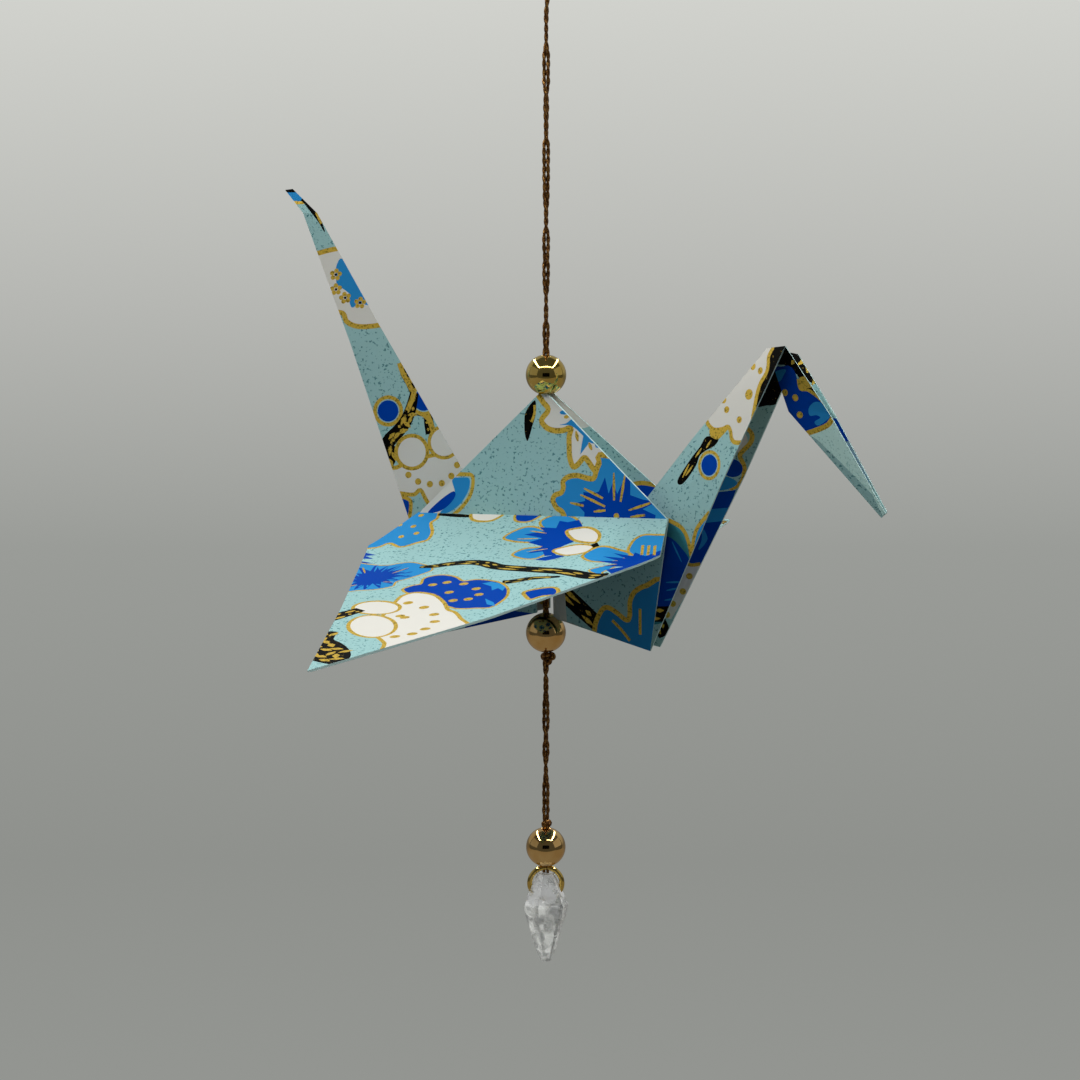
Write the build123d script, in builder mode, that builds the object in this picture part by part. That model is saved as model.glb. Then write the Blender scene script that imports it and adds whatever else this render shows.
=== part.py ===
"""Hanging paper crane: a square of patterned paper folded into a crane, threaded on a
doubled cord between two beads, with a third bead, a ring and a crystal point below it.

Millimetres. The origin is the inside top of the hanging loop, where a hook carries it.
+X is the way the crane faces, +Y its left side and +Z up along the cord.
"""

import os
from math import atan2, cos, radians, sin, sqrt

from build123d import *

# Paper
sheet = 0.3  # folded paper, its two layers pressed together
layer = 0.15  # one of those layers
nose_up = 2.3  # the crane hangs with its head a little high, in degrees
apex_drop = 82.0  # top of the hump below the loop

# Hump, the peak of the body between the wings
hump_height = 17.66
hump_half_length = 19.55
hump_half_width = 3.4
peak_half_width = 0.9  # the two sides stand apart at the peak, for the cord

# Belly, the flaps under the wing roots
belly_half_width = 1.86
belly_drop = 35.65  # where that half width is taken, below the peak
neck_crotch_drop = 32.6  # foot of the neck's fold, which rests on the lower bead
tail_crotch_drop = 30.2  # foot of the tail's fold
hinge_drop = 28.0  # inner layer's lower edge, seen between the flaps
front_corner = (15.6, 36.3)  # forward of the peak, below the peak
rear_corner = (16.45, 35.0)  # behind the peak, below the peak
front_flap = (3.05, 32.63)  # end of the flap beside the opening
rear_flap = (1.63, 31.53)
notch_drop = 24.9  # bottom of the notch between the flaps' upper edges
neck_root = 0.0  # neck fold forward of the peak
tail_root = 2.4  # tail fold behind the peak

# Wings
flare_half_length = 22.43
left_front_flare = 17.6  # the left wing is drawn back a little at the front
flare_out = 12.79
flare_drop = 21.39
wing_out = 66.07
right_tip_drop = 28.24
left_tip_drop = 27.04
wing_mid_out = 40.0
wing_sag = 0.7  # how far the wing hangs below a straight line there
wing_bend = 30.0
seam = 0.3  # gap between the two turned-in halves of a wing's underside
seam_start = 2.0  # where that gap starts, out from the wing root

# Neck, tail and head: spine and open edge at each bend, then the half gap of the edges
neck_mid = ((22.0, -6.9), (27.97, -12.35), 4.2)
neck_top = ((33.34, 5.52), (36.9, 5.2), 2.8)
neck_top_roll = 16.0  # the neck's end is creased lower on its left wall, in degrees
head_mid = ((36.2, -3.0), (42.4, -3.3), 1.0)
beak = ((49.0, -17.1), (49.7, -16.4), 0.5)
tail_mid = ((-26.7, 9.5), (-30.7, 6.9), 1.5)
tail_bend = ((-36.15, 25.6), (-38.05, 25.7), 0.8)
tail_tip = ((-40.1, 29.2), (-41.1, 29.1), 0.5)

# Beads and cord
bead_diameter = 5.7
bead_flat = 1.8  # flat round the hole at each end
cord_diameter = 1.15
top_bead_sink = 0.7  # top bead's flat below the peak of the hump
lower_bead_drop = 34.74  # bead centres below the peak
bottom_bead_drop = 66.18
knot_diameter = 1.9
knot_height = 1.8
knot_lean = 0.3  # the knot under the lower bead sits a little forward of the cord
small_knot_diameter = 1.55
small_knot_height = 1.3
knot_round = 0.45

# Hanging loop
loop_height = 26.0
loop_half_width = 5.0
loop_shoulder = 9.0
loop_bend = 4.9
loop_knot_diameter = 3.0
loop_knot_height = 2.8

# Ring and crystal
ring_diameter = 5.4
ring_wire = 0.75
ring_turn = 26.5  # the ring's plane from the X axis, in degrees
cord_under_ring = 0.35  # the cord's end goes round the ring
crystal_gap = 0.15  # crystal's top below the cord's end
crystal_length = 13.05
crystal_width = 6.5
crystal_depth = 5.5
# Its six edges as shares of the width and depth, then its girth at shares of the length
crystal_edges = ((0.5, 0.08), (0.2, 0.5), (-0.33, 0.43), (-0.5, -0.1), (-0.17, -0.5), (0.38, -0.38))
crystal_girths = (
    (0, 0.36),
    (0.1, 0.55),
    (0.22, 0.78),
    (0.35, 1),
    (0.46, 0.94),
    (0.65, 0.69),
    (0.86, 0.48),
    (1, 0.24),
)

# Levels worked out from the sizes above
apex = -apex_drop
bead_radius = bead_diameter / 2
bead_half_height = sqrt(bead_radius**2 - (bead_flat / 2) ** 2)
top_bead_level = apex - top_bead_sink + bead_half_height
lower_bead_level = apex - lower_bead_drop
bottom_bead_level = apex - bottom_bead_drop
ring_level = bottom_bead_level - bead_half_height - ring_diameter / 2
cord_end = bottom_bead_level - bead_half_height - ring_wire - cord_under_ring
crystal_top = cord_end - crystal_gap


def at(place, across=0.0):
    """A point from its length along the crane and its height over the peak."""
    return Vector(place[0], across, place[1])


def on_flank(along, drop, side):
    """A point on the outer face of one side of the body, below the wing root."""
    slope = (hump_half_width - belly_half_width) / (belly_drop - hump_height)
    return Vector(along, side * (belly_half_width + slope * (belly_drop - drop)), -drop)


def panel(corners, outward):
    """The outer face of a flat panel of paper, turned to face outward."""
    normal = (corners[1] - corners[0]).cross(corners[2] - corners[0])
    if normal.dot(outward) < 0:
        normal = -normal
    face = Plane(origin=corners[0], x_dir=corners[1] - corners[0], z_dir=normal)
    with BuildSketch(face) as outline:
        with BuildLine():
            Polyline([face.to_local_coords(corner) for corner in corners], close=True)
        make_face()
    return outline.sketch


def fold(spine, edge, half_gap, roll=0.0):
    """A cut across a narrow folded point: two layers from its spine to its open edges."""
    reach = (edge - spine).length
    lean = atan2(half_gap, reach)
    inside = sheet / cos(lean)
    across = (edge - spine).normalized()
    sideways = Vector(0, 1, 0).rotate(Axis((0, 0, 0), across), -roll)
    with BuildSketch(Plane(spine, x_dir=across, z_dir=across.cross(sideways))) as cut:
        with BuildLine():
            Polyline(
                (0, 0),
                (reach, -half_gap),
                (reach, inside - half_gap),
                (sheet / sin(lean), 0),
                (reach, half_gap - inside),
                (reach, half_gap),
                close=True,
            )
        make_face()
    return cut.sketch


# Wings: a curved sheet from the root, cut to the long kite of the folded flap
wings = []
for side, tip_drop, front_flare in (
    (-1, right_tip_drop, flare_half_length),
    (1, left_tip_drop, left_front_flare),
):
    root_slope = (flare_drop - hump_height) / (flare_out - hump_half_width)
    outer_slope = (tip_drop - flare_drop) / (wing_out - flare_out)
    mid_drop = flare_drop + outer_slope * (wing_mid_out - flare_out) + wing_sag
    run = (
        (side * (hump_half_width - sheet), root_slope * sheet - hump_height),
        (side * flare_out, -flare_drop),
        (side * wing_mid_out, -mid_drop),
        (side * wing_out, -tip_drop),
    )
    with BuildPart() as wing:
        with BuildSketch(Plane.YZ):
            with BuildLine():
                FilletPolyline(run, radius=wing_bend)
            trace(line_width=sheet)
        extrude(amount=flare_half_length, both=True)
        with BuildSketch(Plane.XY):
            with BuildLine():
                Polyline(
                    (hump_half_length, side * (hump_half_width - sheet)),
                    (hump_half_length, side * hump_half_width),
                    (front_flare, side * flare_out),
                    (0, side * wing_out),
                    (-flare_half_length, side * flare_out),
                    (-hump_half_length, side * hump_half_width),
                    (-hump_half_length, side * (hump_half_width - sheet)),
                    close=True,
                )
            make_face()
        extrude(amount=2 * belly_drop, both=True, mode=Mode.INTERSECT)
        # The raw edges of the underside meet along the middle of the wing
        start = (side * (hump_half_width + seam_start), -hump_height - root_slope * seam_start)
        with BuildSketch(Plane.YZ):
            with BuildLine():
                FilletPolyline(start, *run[1:], radius=wing_bend)
                Polyline(run[3], (run[3][0], -belly_drop), (start[0], -belly_drop), start)
            make_face()
        extrude(amount=seam / 2, both=True, mode=Mode.SUBTRACT)
    wings.append(wing.part)

# Crane, level, with the peak of its hump at the origin
neck_crotch = Vector(neck_root, 0, -neck_crotch_drop)
tail_crotch = Vector(-tail_root, 0, -tail_crotch_drop)
with BuildPart() as level_crane:
    for side in (-1, 1):
        outward = Vector(0, side, 0)
        peak = Vector(0, side * peak_half_width, 0)
        front_root = Vector(hump_half_length, side * hump_half_width, -hump_height)
        rear_root = Vector(-hump_half_length, side * hump_half_width, -hump_height)
        front_low = on_flank(front_corner[0], front_corner[1], side)
        rear_low = on_flank(-rear_corner[0], rear_corner[1], side)
        extrude(panel([peak, front_root, rear_root], outward), amount=-sheet)
        flank = [
            front_root,
            rear_root,
            rear_low,
            on_flank(-rear_flap[0], rear_flap[1], side),
            on_flank(-rear_flap[0], hinge_drop, side),
            on_flank(front_flap[0], hinge_drop, side),
            on_flank(front_flap[0], front_flap[1], side),
            front_low,
        ]
        extrude(panel(flank, outward), amount=-sheet)
        # Gussets tucked in from the hump's edges to the neck and the tail
        for root, low, crotch in ((front_root, front_low, neck_crotch), (rear_root, rear_low, tail_crotch)):
            extrude(panel([peak, root, crotch], outward), amount=-sheet)
            extrude(panel([root, low, crotch], outward), amount=-sheet)
    # Neck and tail stand up between the flanks, and the head folds down inside the neck
    neck_low = on_flank(front_corner[0], front_corner[1], 1)
    tail_low = on_flank(-rear_corner[0], rear_corner[1], 1)
    neck_end = fold(at(neck_top[0]), at(neck_top[1]), neck_top[2], neck_top_roll)
    neck_cuts = [
        fold(neck_crotch, at((neck_low.X, neck_low.Z)), neck_low.Y),
        fold(at(neck_mid[0]), at(neck_mid[1]), neck_mid[2]),
        neck_end,
    ]
    loft([cut.face() for cut in neck_cuts], ruled=True)
    head_cuts = [
        neck_end,
        fold(at(head_mid[0]), at(head_mid[1]), head_mid[2]),
        fold(at(beak[0]), at(beak[1]), beak[2]),
    ]
    loft([cut.face() for cut in head_cuts], ruled=True)
    tail_cuts = [
        fold(tail_crotch, at((tail_low.X, tail_low.Z)), tail_low.Y),
        fold(at(tail_mid[0]), at(tail_mid[1]), tail_mid[2]),
        fold(at(tail_bend[0]), at(tail_bend[1]), tail_bend[2]),
        fold(at(tail_tip[0]), at(tail_tip[1]), tail_tip[2]),
    ]
    loft([cut.face() for cut in tail_cuts], ruled=True)
    for wing_part in wings:
        add(wing_part)
    # Notch between the flaps' upper edges, one layer deep
    for side in (-1, 1):
        rise = notch_drop - hump_height
        notch = [
            on_flank(-rear_flap[0], hinge_drop, side),
            on_flank(front_flap[0], hinge_drop, side),
            on_flank(front_flap[0], notch_drop, side),
            on_flank(front_flap[0] + rise, hump_height + sheet, side),
            on_flank(-rear_flap[0] - rise, hump_height + sheet, side),
            on_flank(-rear_flap[0], notch_drop, side),
        ]
        extrude(panel(notch, Vector(0, side, 0)), amount=-layer, mode=Mode.SUBTRACT)

# Beads: drilled balls with a small flat round each end of the hole
beads = {}
for bead_name, level in (
    ("top_bead", top_bead_level),
    ("lower_bead", lower_bead_level),
    ("bottom_bead", bottom_bead_level),
):
    with BuildPart(Plane.XY.offset(level)) as bead:
        Sphere(bead_radius)
        Cylinder(bead_radius, 2 * bead_half_height, mode=Mode.INTERSECT)
        Cylinder(cord_diameter / 2, bead_diameter, mode=Mode.SUBTRACT)
    bead.part.label = bead_name
    beads[bead_name] = bead.part

# Crane as it hangs: tipped nose up, pierced for the cord and seated on the beads
with BuildPart() as paper_crane:
    add(level_crane.part.moved(Location((0, 0, apex), (0, -nose_up, 0))))
    with Locations((0, 0, apex)):
        Cylinder(cord_diameter / 2, 2 * apex_drop, mode=Mode.SUBTRACT)
    for level in (top_bead_level, lower_bead_level):
        with BuildSketch(Plane.XZ) as ball:
            with Locations((0, level)):
                Circle(bead_radius)
                Rectangle(bead_diameter, 2 * bead_half_height, mode=Mode.INTERSECT)
            split(bisect_by=Plane.YZ)
        revolve(ball.sketch, axis=Axis.Z, mode=Mode.SUBTRACT)
paper_crane.part.label = "paper_crane"

# Ring through the cord's end and the crystal
turn = radians(ring_turn)
ring_plane = Plane((0, 0, ring_level), x_dir=(cos(turn), sin(turn), 0), z_dir=(sin(turn), -cos(turn), 0))
with BuildPart(ring_plane) as ring:
    Torus((ring_diameter - ring_wire) / 2, ring_wire / 2)
ring.part.label = "ring"

# Cord: straight from the ring up to the loop, round the loop and back to its knot
cord_route = (
    (0, 0, cord_end),
    (0, 0, -loop_height),
    (loop_half_width, 0, loop_shoulder - loop_height),
    (loop_half_width, 0, cord_diameter / 2),
    (-loop_half_width, 0, cord_diameter / 2),
    (-loop_half_width, 0, loop_shoulder - loop_height),
    (-cord_diameter, 0, -loop_height),
)
with BuildPart() as cord:
    with BuildLine() as route:
        FilletPolyline(cord_route, radius=loop_bend)
    with BuildSketch(Plane((0, 0, cord_end))):
        Circle(cord_diameter / 2)
    sweep()
    # Knots: under the lower bead, over the bottom bead and at the foot of the loop
    knot_level = lower_bead_level - bead_half_height - knot_height / 2
    small_knot_level = bottom_bead_level + bead_half_height + small_knot_height / 2
    knots = (
        (knot_lean, knot_level, knot_diameter, knot_height),
        (0, small_knot_level, small_knot_diameter, small_knot_height),
        (-cord_diameter / 2, -loop_height, loop_knot_diameter, loop_knot_height),
    )
    for along, level, width, height in knots:
        with BuildSketch(Plane.XZ) as knot:
            with Locations((along + width / 4, level)):
                Rectangle(width / 2, height)
            fillet(knot.vertices().group_by(Axis.X)[-1], radius=knot_round)
        revolve(knot.sketch, axis=Axis((along, 0, 0), (0, 0, 1)))
    add(ring.part, mode=Mode.SUBTRACT)
cord.part.label = "cord"

# Crystal: a rough six-sided point, drilled near its broad end for the ring
with BuildPart() as crystal_point:
    for share, girth in crystal_girths:
        level = crystal_top - share * crystal_length
        with BuildSketch(Plane((0, 0, level), x_dir=ring_plane.x_dir)):
            with BuildLine():
                Polyline(
                    [(girth * crystal_width * x, girth * crystal_depth * y) for x, y in crystal_edges],
                    close=True,
                )
            make_face()
    loft(ruled=True)
    add(ring.part, mode=Mode.SUBTRACT)
crystal_point.part.label = "crystal_point"

os.makedirs("parts", exist_ok=True)
export_step(paper_crane.part, "parts/paper_crane.step")
export_step(cord.part, "parts/cord.step")
for bead_name, bead_part in beads.items():
    export_step(bead_part, f"parts/{bead_name}.step")
export_step(ring.part, "parts/ring.step")
export_step(crystal_point.part, "parts/crystal_point.step")
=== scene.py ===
"""Hanging paper crane: folded patterned paper on a doubled gold cord, with three gold beads,
a jump ring and a rough quartz point below it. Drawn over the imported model, in metres."""

import math
import random

import bmesh
import bpy
import numpy as np
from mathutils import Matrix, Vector, geometry


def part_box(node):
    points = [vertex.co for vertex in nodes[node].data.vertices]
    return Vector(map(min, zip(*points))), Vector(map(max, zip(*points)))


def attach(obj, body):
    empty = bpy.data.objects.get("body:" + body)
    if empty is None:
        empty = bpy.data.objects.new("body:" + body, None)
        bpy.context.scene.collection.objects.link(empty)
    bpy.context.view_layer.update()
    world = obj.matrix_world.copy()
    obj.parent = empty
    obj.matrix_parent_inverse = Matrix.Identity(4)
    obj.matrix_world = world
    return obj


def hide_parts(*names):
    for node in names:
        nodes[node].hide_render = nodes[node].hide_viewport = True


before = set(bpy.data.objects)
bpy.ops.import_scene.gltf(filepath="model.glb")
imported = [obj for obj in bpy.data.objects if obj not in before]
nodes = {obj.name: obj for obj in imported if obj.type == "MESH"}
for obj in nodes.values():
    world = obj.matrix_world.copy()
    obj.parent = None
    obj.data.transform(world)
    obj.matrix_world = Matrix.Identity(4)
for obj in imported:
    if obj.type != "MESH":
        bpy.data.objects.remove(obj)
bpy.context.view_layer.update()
mm = 0.001

# Beads: gold-plated brass balls, polished to a mirror, each drilled through for the cord, with
# the edge of the hole rolled in at both ends. Each is turned in the place of its solid.


def linear(colour):
    """A written sRGB colour such as "A4CDCD" as linear light, with full opacity."""
    shares = [int(colour[i : i + 2], 16) / 255 for i in (0, 2, 4)]
    return [c / 12.92 if c < 0.04045 else ((c + 0.055) / 1.055) ** 2.4 for c in shares] + [1.0]


def add_node(tree, kind, inputs=None, ramp=None, **settings):
    """Adds a node, gives it its settings, and sets or links its inputs by name."""
    made = tree.nodes.new(kind)
    for key, value in settings.items():
        setattr(made, key, value)
    if ramp:
        steps = made.color_ramp.elements
        for step, (place, colour) in zip(steps, (ramp[0], ramp[-1])):
            step.position, step.color = place, colour
        for place, colour in ramp[1:-1]:
            steps.new(place).color = colour
    for key, value in (inputs or {}).items():
        socket = next(s for s in made.inputs if key in (s.identifier, s.name))
        if isinstance(value, bpy.types.NodeSocket):
            tree.links.new(value, socket)
        else:
            socket.default_value = value
    return made


def new_material(name):
    """A material with only its output, and the tree to build it in."""
    material = bpy.data.materials.new(name)
    material.use_nodes = True
    material.node_tree.nodes.clear()
    return material, material.node_tree


def finish_material(tree, surface):
    """Joins the shader to the output."""
    add_node(tree, "ShaderNodeOutputMaterial", {"Surface": surface.outputs[0]})


def noise(tree, place, size, detail):
    """Noise with cells of about the size given."""
    inputs = {"Vector": place, "Scale": 1 / size, "Detail": detail}
    return add_node(tree, "ShaderNodeTexNoise", inputs).outputs["Fac"]


def rescaled(tree, value, source, result):
    """A value moved from one range to another and held inside it."""
    inputs = {"Value": value, "From Min": source[0], "From Max": source[1]}
    inputs.update({"To Min": result[0], "To Max": result[1]})
    return add_node(tree, "ShaderNodeMapRange", inputs).outputs["Result"]


def coloured(tree, value, ramp):
    """A value as a colour, from a ramp of places and written colours."""
    ramp = [(place, linear(colour)) for place, colour in ramp]
    return add_node(tree, "ShaderNodeValToRGB", {"Fac": value}, ramp=ramp).outputs["Color"]


def gold_plate(name, darker, lighter):
    """Polished gold plate: a mirror with a faint haze."""
    material, tree = new_material(name)
    place = add_node(tree, "ShaderNodeTexCoord").outputs["Object"]
    haze = noise(tree, place, 2.5 * mm, 4.0)
    surface = add_node(
        tree,
        "ShaderNodeBsdfPrincipled",
        {
            "Base Color": coloured(tree, haze, [(0.35, darker), (0.65, lighter)]),
            "Metallic": 1.0,
            "Roughness": rescaled(tree, haze, (0.3, 0.7), (0.05, 0.12)),
        },
    )
    finish_material(tree, surface)
    return material


def place_piece(piece, node):
    """The piece stands for a node and moves with the one body."""
    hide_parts(node)
    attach(piece, "root")


def link_alone(piece):
    """Links a new piece to the scene and makes it the only one selected."""
    bpy.ops.object.select_all(action="DESELECT")
    bpy.context.collection.objects.link(piece)
    bpy.context.view_layer.objects.active = piece
    piece.select_set(True)


def lathe(name, outline, turns=96):
    """Turns a closed outline of (radius, height) round Z, by spinning a wire."""
    wire = bpy.data.meshes.new(name)
    count = len(outline)
    ends = [(i, (i + 1) % count) for i in range(count)]
    wire.from_pydata([(radius, 0, height) for radius, height in outline], ends, [])
    turned = bpy.data.objects.new(name, wire)
    link_alone(turned)
    bpy.ops.object.mode_set(mode="EDIT")
    bpy.ops.mesh.select_all(action="SELECT")
    bpy.ops.mesh.spin(steps=turns, angle=2 * math.pi, center=(0, 0, 0), axis=(0, 0, 1))
    bpy.ops.mesh.select_all(action="SELECT")
    bpy.ops.mesh.remove_doubles(threshold=1e-7)
    bpy.ops.mesh.normals_make_consistent(inside=False)
    bpy.ops.object.mode_set(mode="OBJECT")
    bpy.ops.object.shade_smooth_by_angle(angle=math.radians(50))
    return turned


cord_radius = 0.575 * mm
brass_plate = gold_plate("polished_brass_plate", "D6B55C", "E8CB74")
rose_plate = gold_plate("polished_rose_gold_plate", "DCAE68", "ECC684")
bead_plates = (("top_bead", brass_plate), ("lower_bead", rose_plate), ("bottom_bead", rose_plate))
for bead_name, plate in bead_plates:
    low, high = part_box(bead_name)
    radius = (high.x - low.x) / 2
    half_height = (high.z - low.z) / 2
    middle = (high.z + low.z) / 2
    lip = 0.28 * mm
    flat = math.sqrt(radius**2 - half_height**2)
    rise = [math.asin(half_height / radius) * (i / 40 * 2 - 1) for i in range(41)]
    ball = [(radius * math.cos(a), middle + radius * math.sin(a)) for a in rise]
    roll = [(i + 1) / 6 * math.pi / 2 for i in range(6)]
    width = flat - cord_radius
    top = middle + half_height
    upper = [(flat - width * math.sin(a), top - lip * (1 - math.cos(a))) for a in roll]
    lower = [(r, 2 * middle - z) for r, z in reversed(upper)]
    bead = lathe(bead_name + "_polished", ball + upper + lower)
    bead.data.materials.append(plate)
    place_piece(bead, bead_name)

# Jump ring: a turn of gold-plated brass wire, closed with pliers so that its two cut ends
# meet. It hangs from the cord's end and goes through the drilled top of the crystal.
ring_low, ring_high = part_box("ring")
ring_centre = (ring_low + ring_high) / 2
wire_radius = 0.375 * mm
ring_radius = (ring_high.z - ring_low.z) / 2 - wire_radius
ring_turn = math.radians(26.5)
ring_segments = 120
cut_angle = math.radians(200)
bpy.ops.object.select_all(action="DESELECT")
bpy.ops.mesh.primitive_torus_add(
    major_radius=ring_radius,
    minor_radius=wire_radius,
    major_segments=ring_segments,
    minor_segments=20,
)
ring = bpy.context.active_object
ring.name = "jump_ring"
# One segment is cut out and its ends are closed, which leaves the fine gap of a bent ring
bpy.ops.object.mode_set(mode="EDIT")
bpy.ops.mesh.select_all(action="DESELECT")
ring_mesh = bmesh.from_edit_mesh(ring.data)
for face in ring_mesh.faces:
    centre = face.calc_center_median()
    angle = math.atan2(centre.y, centre.x) % (2 * math.pi)
    face.select = abs(angle - cut_angle) < math.pi / ring_segments
bmesh.update_edit_mesh(ring.data)
bpy.ops.mesh.delete(type="FACE")
bpy.ops.mesh.select_all(action="SELECT")
bpy.ops.mesh.fill_holes(sides=0)
bpy.ops.mesh.normals_make_consistent(inside=False)
bpy.ops.object.mode_set(mode="OBJECT")
ring.rotation_euler = (math.pi / 2, 0, ring_turn)
ring.location = ring_centre
bpy.ops.object.transform_apply(location=True, rotation=True, scale=True)
bpy.ops.object.shade_smooth_by_angle(angle=math.radians(50))
ring.data.materials.append(brass_plate)
place_piece(ring, "ring")

# Crystal: a broken point of clear quartz, drilled near its broad end for the ring. Its breaks
# are shell-shaped chips, frosted in patches, over clear glassy stone.


def copy_of(node, name):
    """A new object with a merged copy of a node's mesh, active and alone selected."""
    copied = bpy.data.objects.new(name, nodes[node].data.copy())
    copied.data.materials.clear()
    link_alone(copied)
    bpy.ops.object.mode_set(mode="EDIT")
    bpy.ops.mesh.select_all(action="SELECT")
    bpy.ops.mesh.remove_doubles(threshold=1e-7)
    bpy.ops.object.mode_set(mode="OBJECT")
    return copied


def rough_quartz(middle, top):
    """Clear quartz: sharp glassy breaks, with milky veils that close up between two heights."""
    material, tree = new_material("rough_clear_quartz")
    place = add_node(tree, "ShaderNodeTexCoord").outputs["Object"]
    patches = noise(tree, place, 1.8 * mm, 5.0)
    height = add_node(tree, "ShaderNodeSeparateXYZ", {"Vector": place}).outputs["Z"]
    crown = rescaled(tree, height, (middle, top), (0.0, 0.14))
    veils = add_node(tree, "ShaderNodeMath", {"Value": patches, "Value_001": crown}).outputs["Value"]
    grit = noise(tree, place, 0.25 * mm, 3.0)
    relief = add_node(tree, "ShaderNodeBump", {"Height": grit, "Strength": 0.3, "Distance": 0.1 * mm})
    surface = add_node(
        tree,
        "ShaderNodeBsdfPrincipled",
        {
            "Base Color": linear("FDFEFD"),
            "Roughness": rescaled(tree, veils, (0.47, 0.62), (0.02, 0.35)),
            "IOR": 1.544,
            "Transmission Weight": rescaled(tree, veils, (0.46, 0.6), (0.96, 0.08)),
            "Normal": relief.outputs["Normal"],
        },
    )
    finish_material(tree, surface)
    return material


crystal = copy_of("crystal_point", "quartz_point")
bpy.ops.object.mode_set(mode="EDIT")
bpy.ops.mesh.select_all(action="SELECT")
bpy.ops.mesh.subdivide(number_cuts=1)
bpy.ops.object.mode_set(mode="OBJECT")
# Shallow shell-shaped chips, each a dip about 1.5 mm across
chip_maker = random.Random(17)
chip_count = 90
chip_depth = 0.16 * mm
crystal_low, crystal_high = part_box("crystal_point")
chips = []
for _ in range(chip_count):
    share = [chip_maker.uniform(-0.1, 1.1) for _ in range(3)]
    spot = [low + k * (high - low) for low, high, k in zip(crystal_low, crystal_high, share)]
    chips.append((Vector(spot), chip_maker.uniform(0.8, 1.7) * mm))
crystal.data.update()
moves = []
for vertex in crystal.data.vertices:
    dip = max((1 - (vertex.co - spot).length / reach for spot, reach in chips), default=0)
    moves.append(vertex.normal * (-chip_depth * max(dip, 0)))
for vertex, move in zip(crystal.data.vertices, moves):
    if (vertex.co - ring_centre).length > ring_radius + 3 * wire_radius:
        vertex.co += move
for face in crystal.data.polygons:
    face.use_smooth = False
crystal.data.materials.append(rough_quartz(crystal_low[2] + 7 * mm, crystal_high[2] - 1 * mm))
place_piece(crystal, "crystal_point")

# Cord: two plied strands of metallic thread, gold foil over a brown core, laid side by side
# with a slow twist. It runs from the ring through the beads and the crane to a hanging loop.
cord_route = (
    (0, 0, -151.984),
    (0, 0, -36.3),
    (0, 0, -26),
    (5, 0, -17),
    (5, 0, 0.575),
    (-5, 0, 0.575),
    (-5, 0, -17),
    (-1.15, 0, -26),
)
route_curve = bpy.data.curves.new("cord_route", "CURVE")
route_curve.dimensions = "3D"
route_curve.resolution_u = 48
route_line = route_curve.splines.new("NURBS")
route_line.points.add(len(cord_route) - 1)
for point, place in zip(route_line.points, cord_route):
    point.co = (place[0] * mm, place[1] * mm, place[2] * mm, 1)
route_line.order_u = 3
route_line.use_endpoint_u = True
route = bpy.data.objects.new("cord_route", route_curve)
bpy.context.collection.objects.link(route)
bpy.context.view_layer.update()
route_mesh = bpy.data.meshes.new_from_object(route)
cord_path = np.array([v.co[:] for v in route_mesh.vertices])
bpy.data.objects.remove(route)


def evenly(path, step):
    """Points at even steps along a path, with the direction of travel at each."""
    gaps = np.linalg.norm(np.diff(path, axis=0), axis=1)
    along = np.concatenate([[0], np.cumsum(gaps)])
    places = np.linspace(0, along[-1], max(8, int(along[-1] / step)))
    points = np.stack([np.interp(places, along, path[:, i]) for i in range(3)], axis=1)
    heading = np.gradient(points, axis=0)
    return points, heading / np.linalg.norm(heading, axis=1)[:, None], places


def plied_strand(path, reach, start, turn_length, seed, strand_radius=0.29 * mm):
    """One strand that winds round a path at a reach from it, as rings of its two plies."""
    ply_radius = 0.7 * strand_radius
    ply_reach = 0.3 * strand_radius
    ply_turn = 2.4 * mm
    sides = 7
    points, heading, places = evenly(path, 0.13 * mm)
    side = np.cross(heading, [0.0, 1.0, 0.0])
    weak = np.linalg.norm(side, axis=1) < 0.2
    side[weak] = np.cross(heading[weak], [1.0, 0.0, 0.0])
    side /= np.linalg.norm(side, axis=1)[:, None]
    up = np.cross(side, heading)
    drift = random.Random(seed)
    waves = [
        (drift.uniform(4, 14) * mm, drift.uniform(0, 6.28), drift.uniform(0.2, 0.6))
        for _ in range(3)
    ]
    wander = sum(size * np.sin(places / length * 6.28 + phase) for length, phase, size in waves)
    angle = start + places / turn_length * 2 * math.pi + wander
    middle = points + reach * (np.cos(angle)[:, None] * side + np.sin(angle)[:, None] * up)
    corners, faces = [], []
    for ply in range(2):
        twist = places / ply_turn * 2 * math.pi + ply * math.pi + start
        centre = middle + ply_reach * (np.cos(twist)[:, None] * side + np.sin(twist)[:, None] * up)
        base = len(corners) * len(points) * sides
        rings = [
            centre + ply_radius * (math.cos(a) * side + math.sin(a) * up)
            for a in (2 * math.pi * k / sides for k in range(sides))
        ]
        corners.append(np.stack(rings, axis=1).reshape(-1, 3))
        for i in range(len(points) - 1):
            for k in range(sides):
                a, b = base + i * sides + k, base + i * sides + (k + 1) % sides
                faces.append((a, b, b + sides, a + sides))
        last = base + (len(points) - 1) * sides
        faces.append(tuple(base + k for k in reversed(range(sides))))
        faces.append(tuple(last + k for k in range(sides)))
    return np.concatenate(corners), faces


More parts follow.
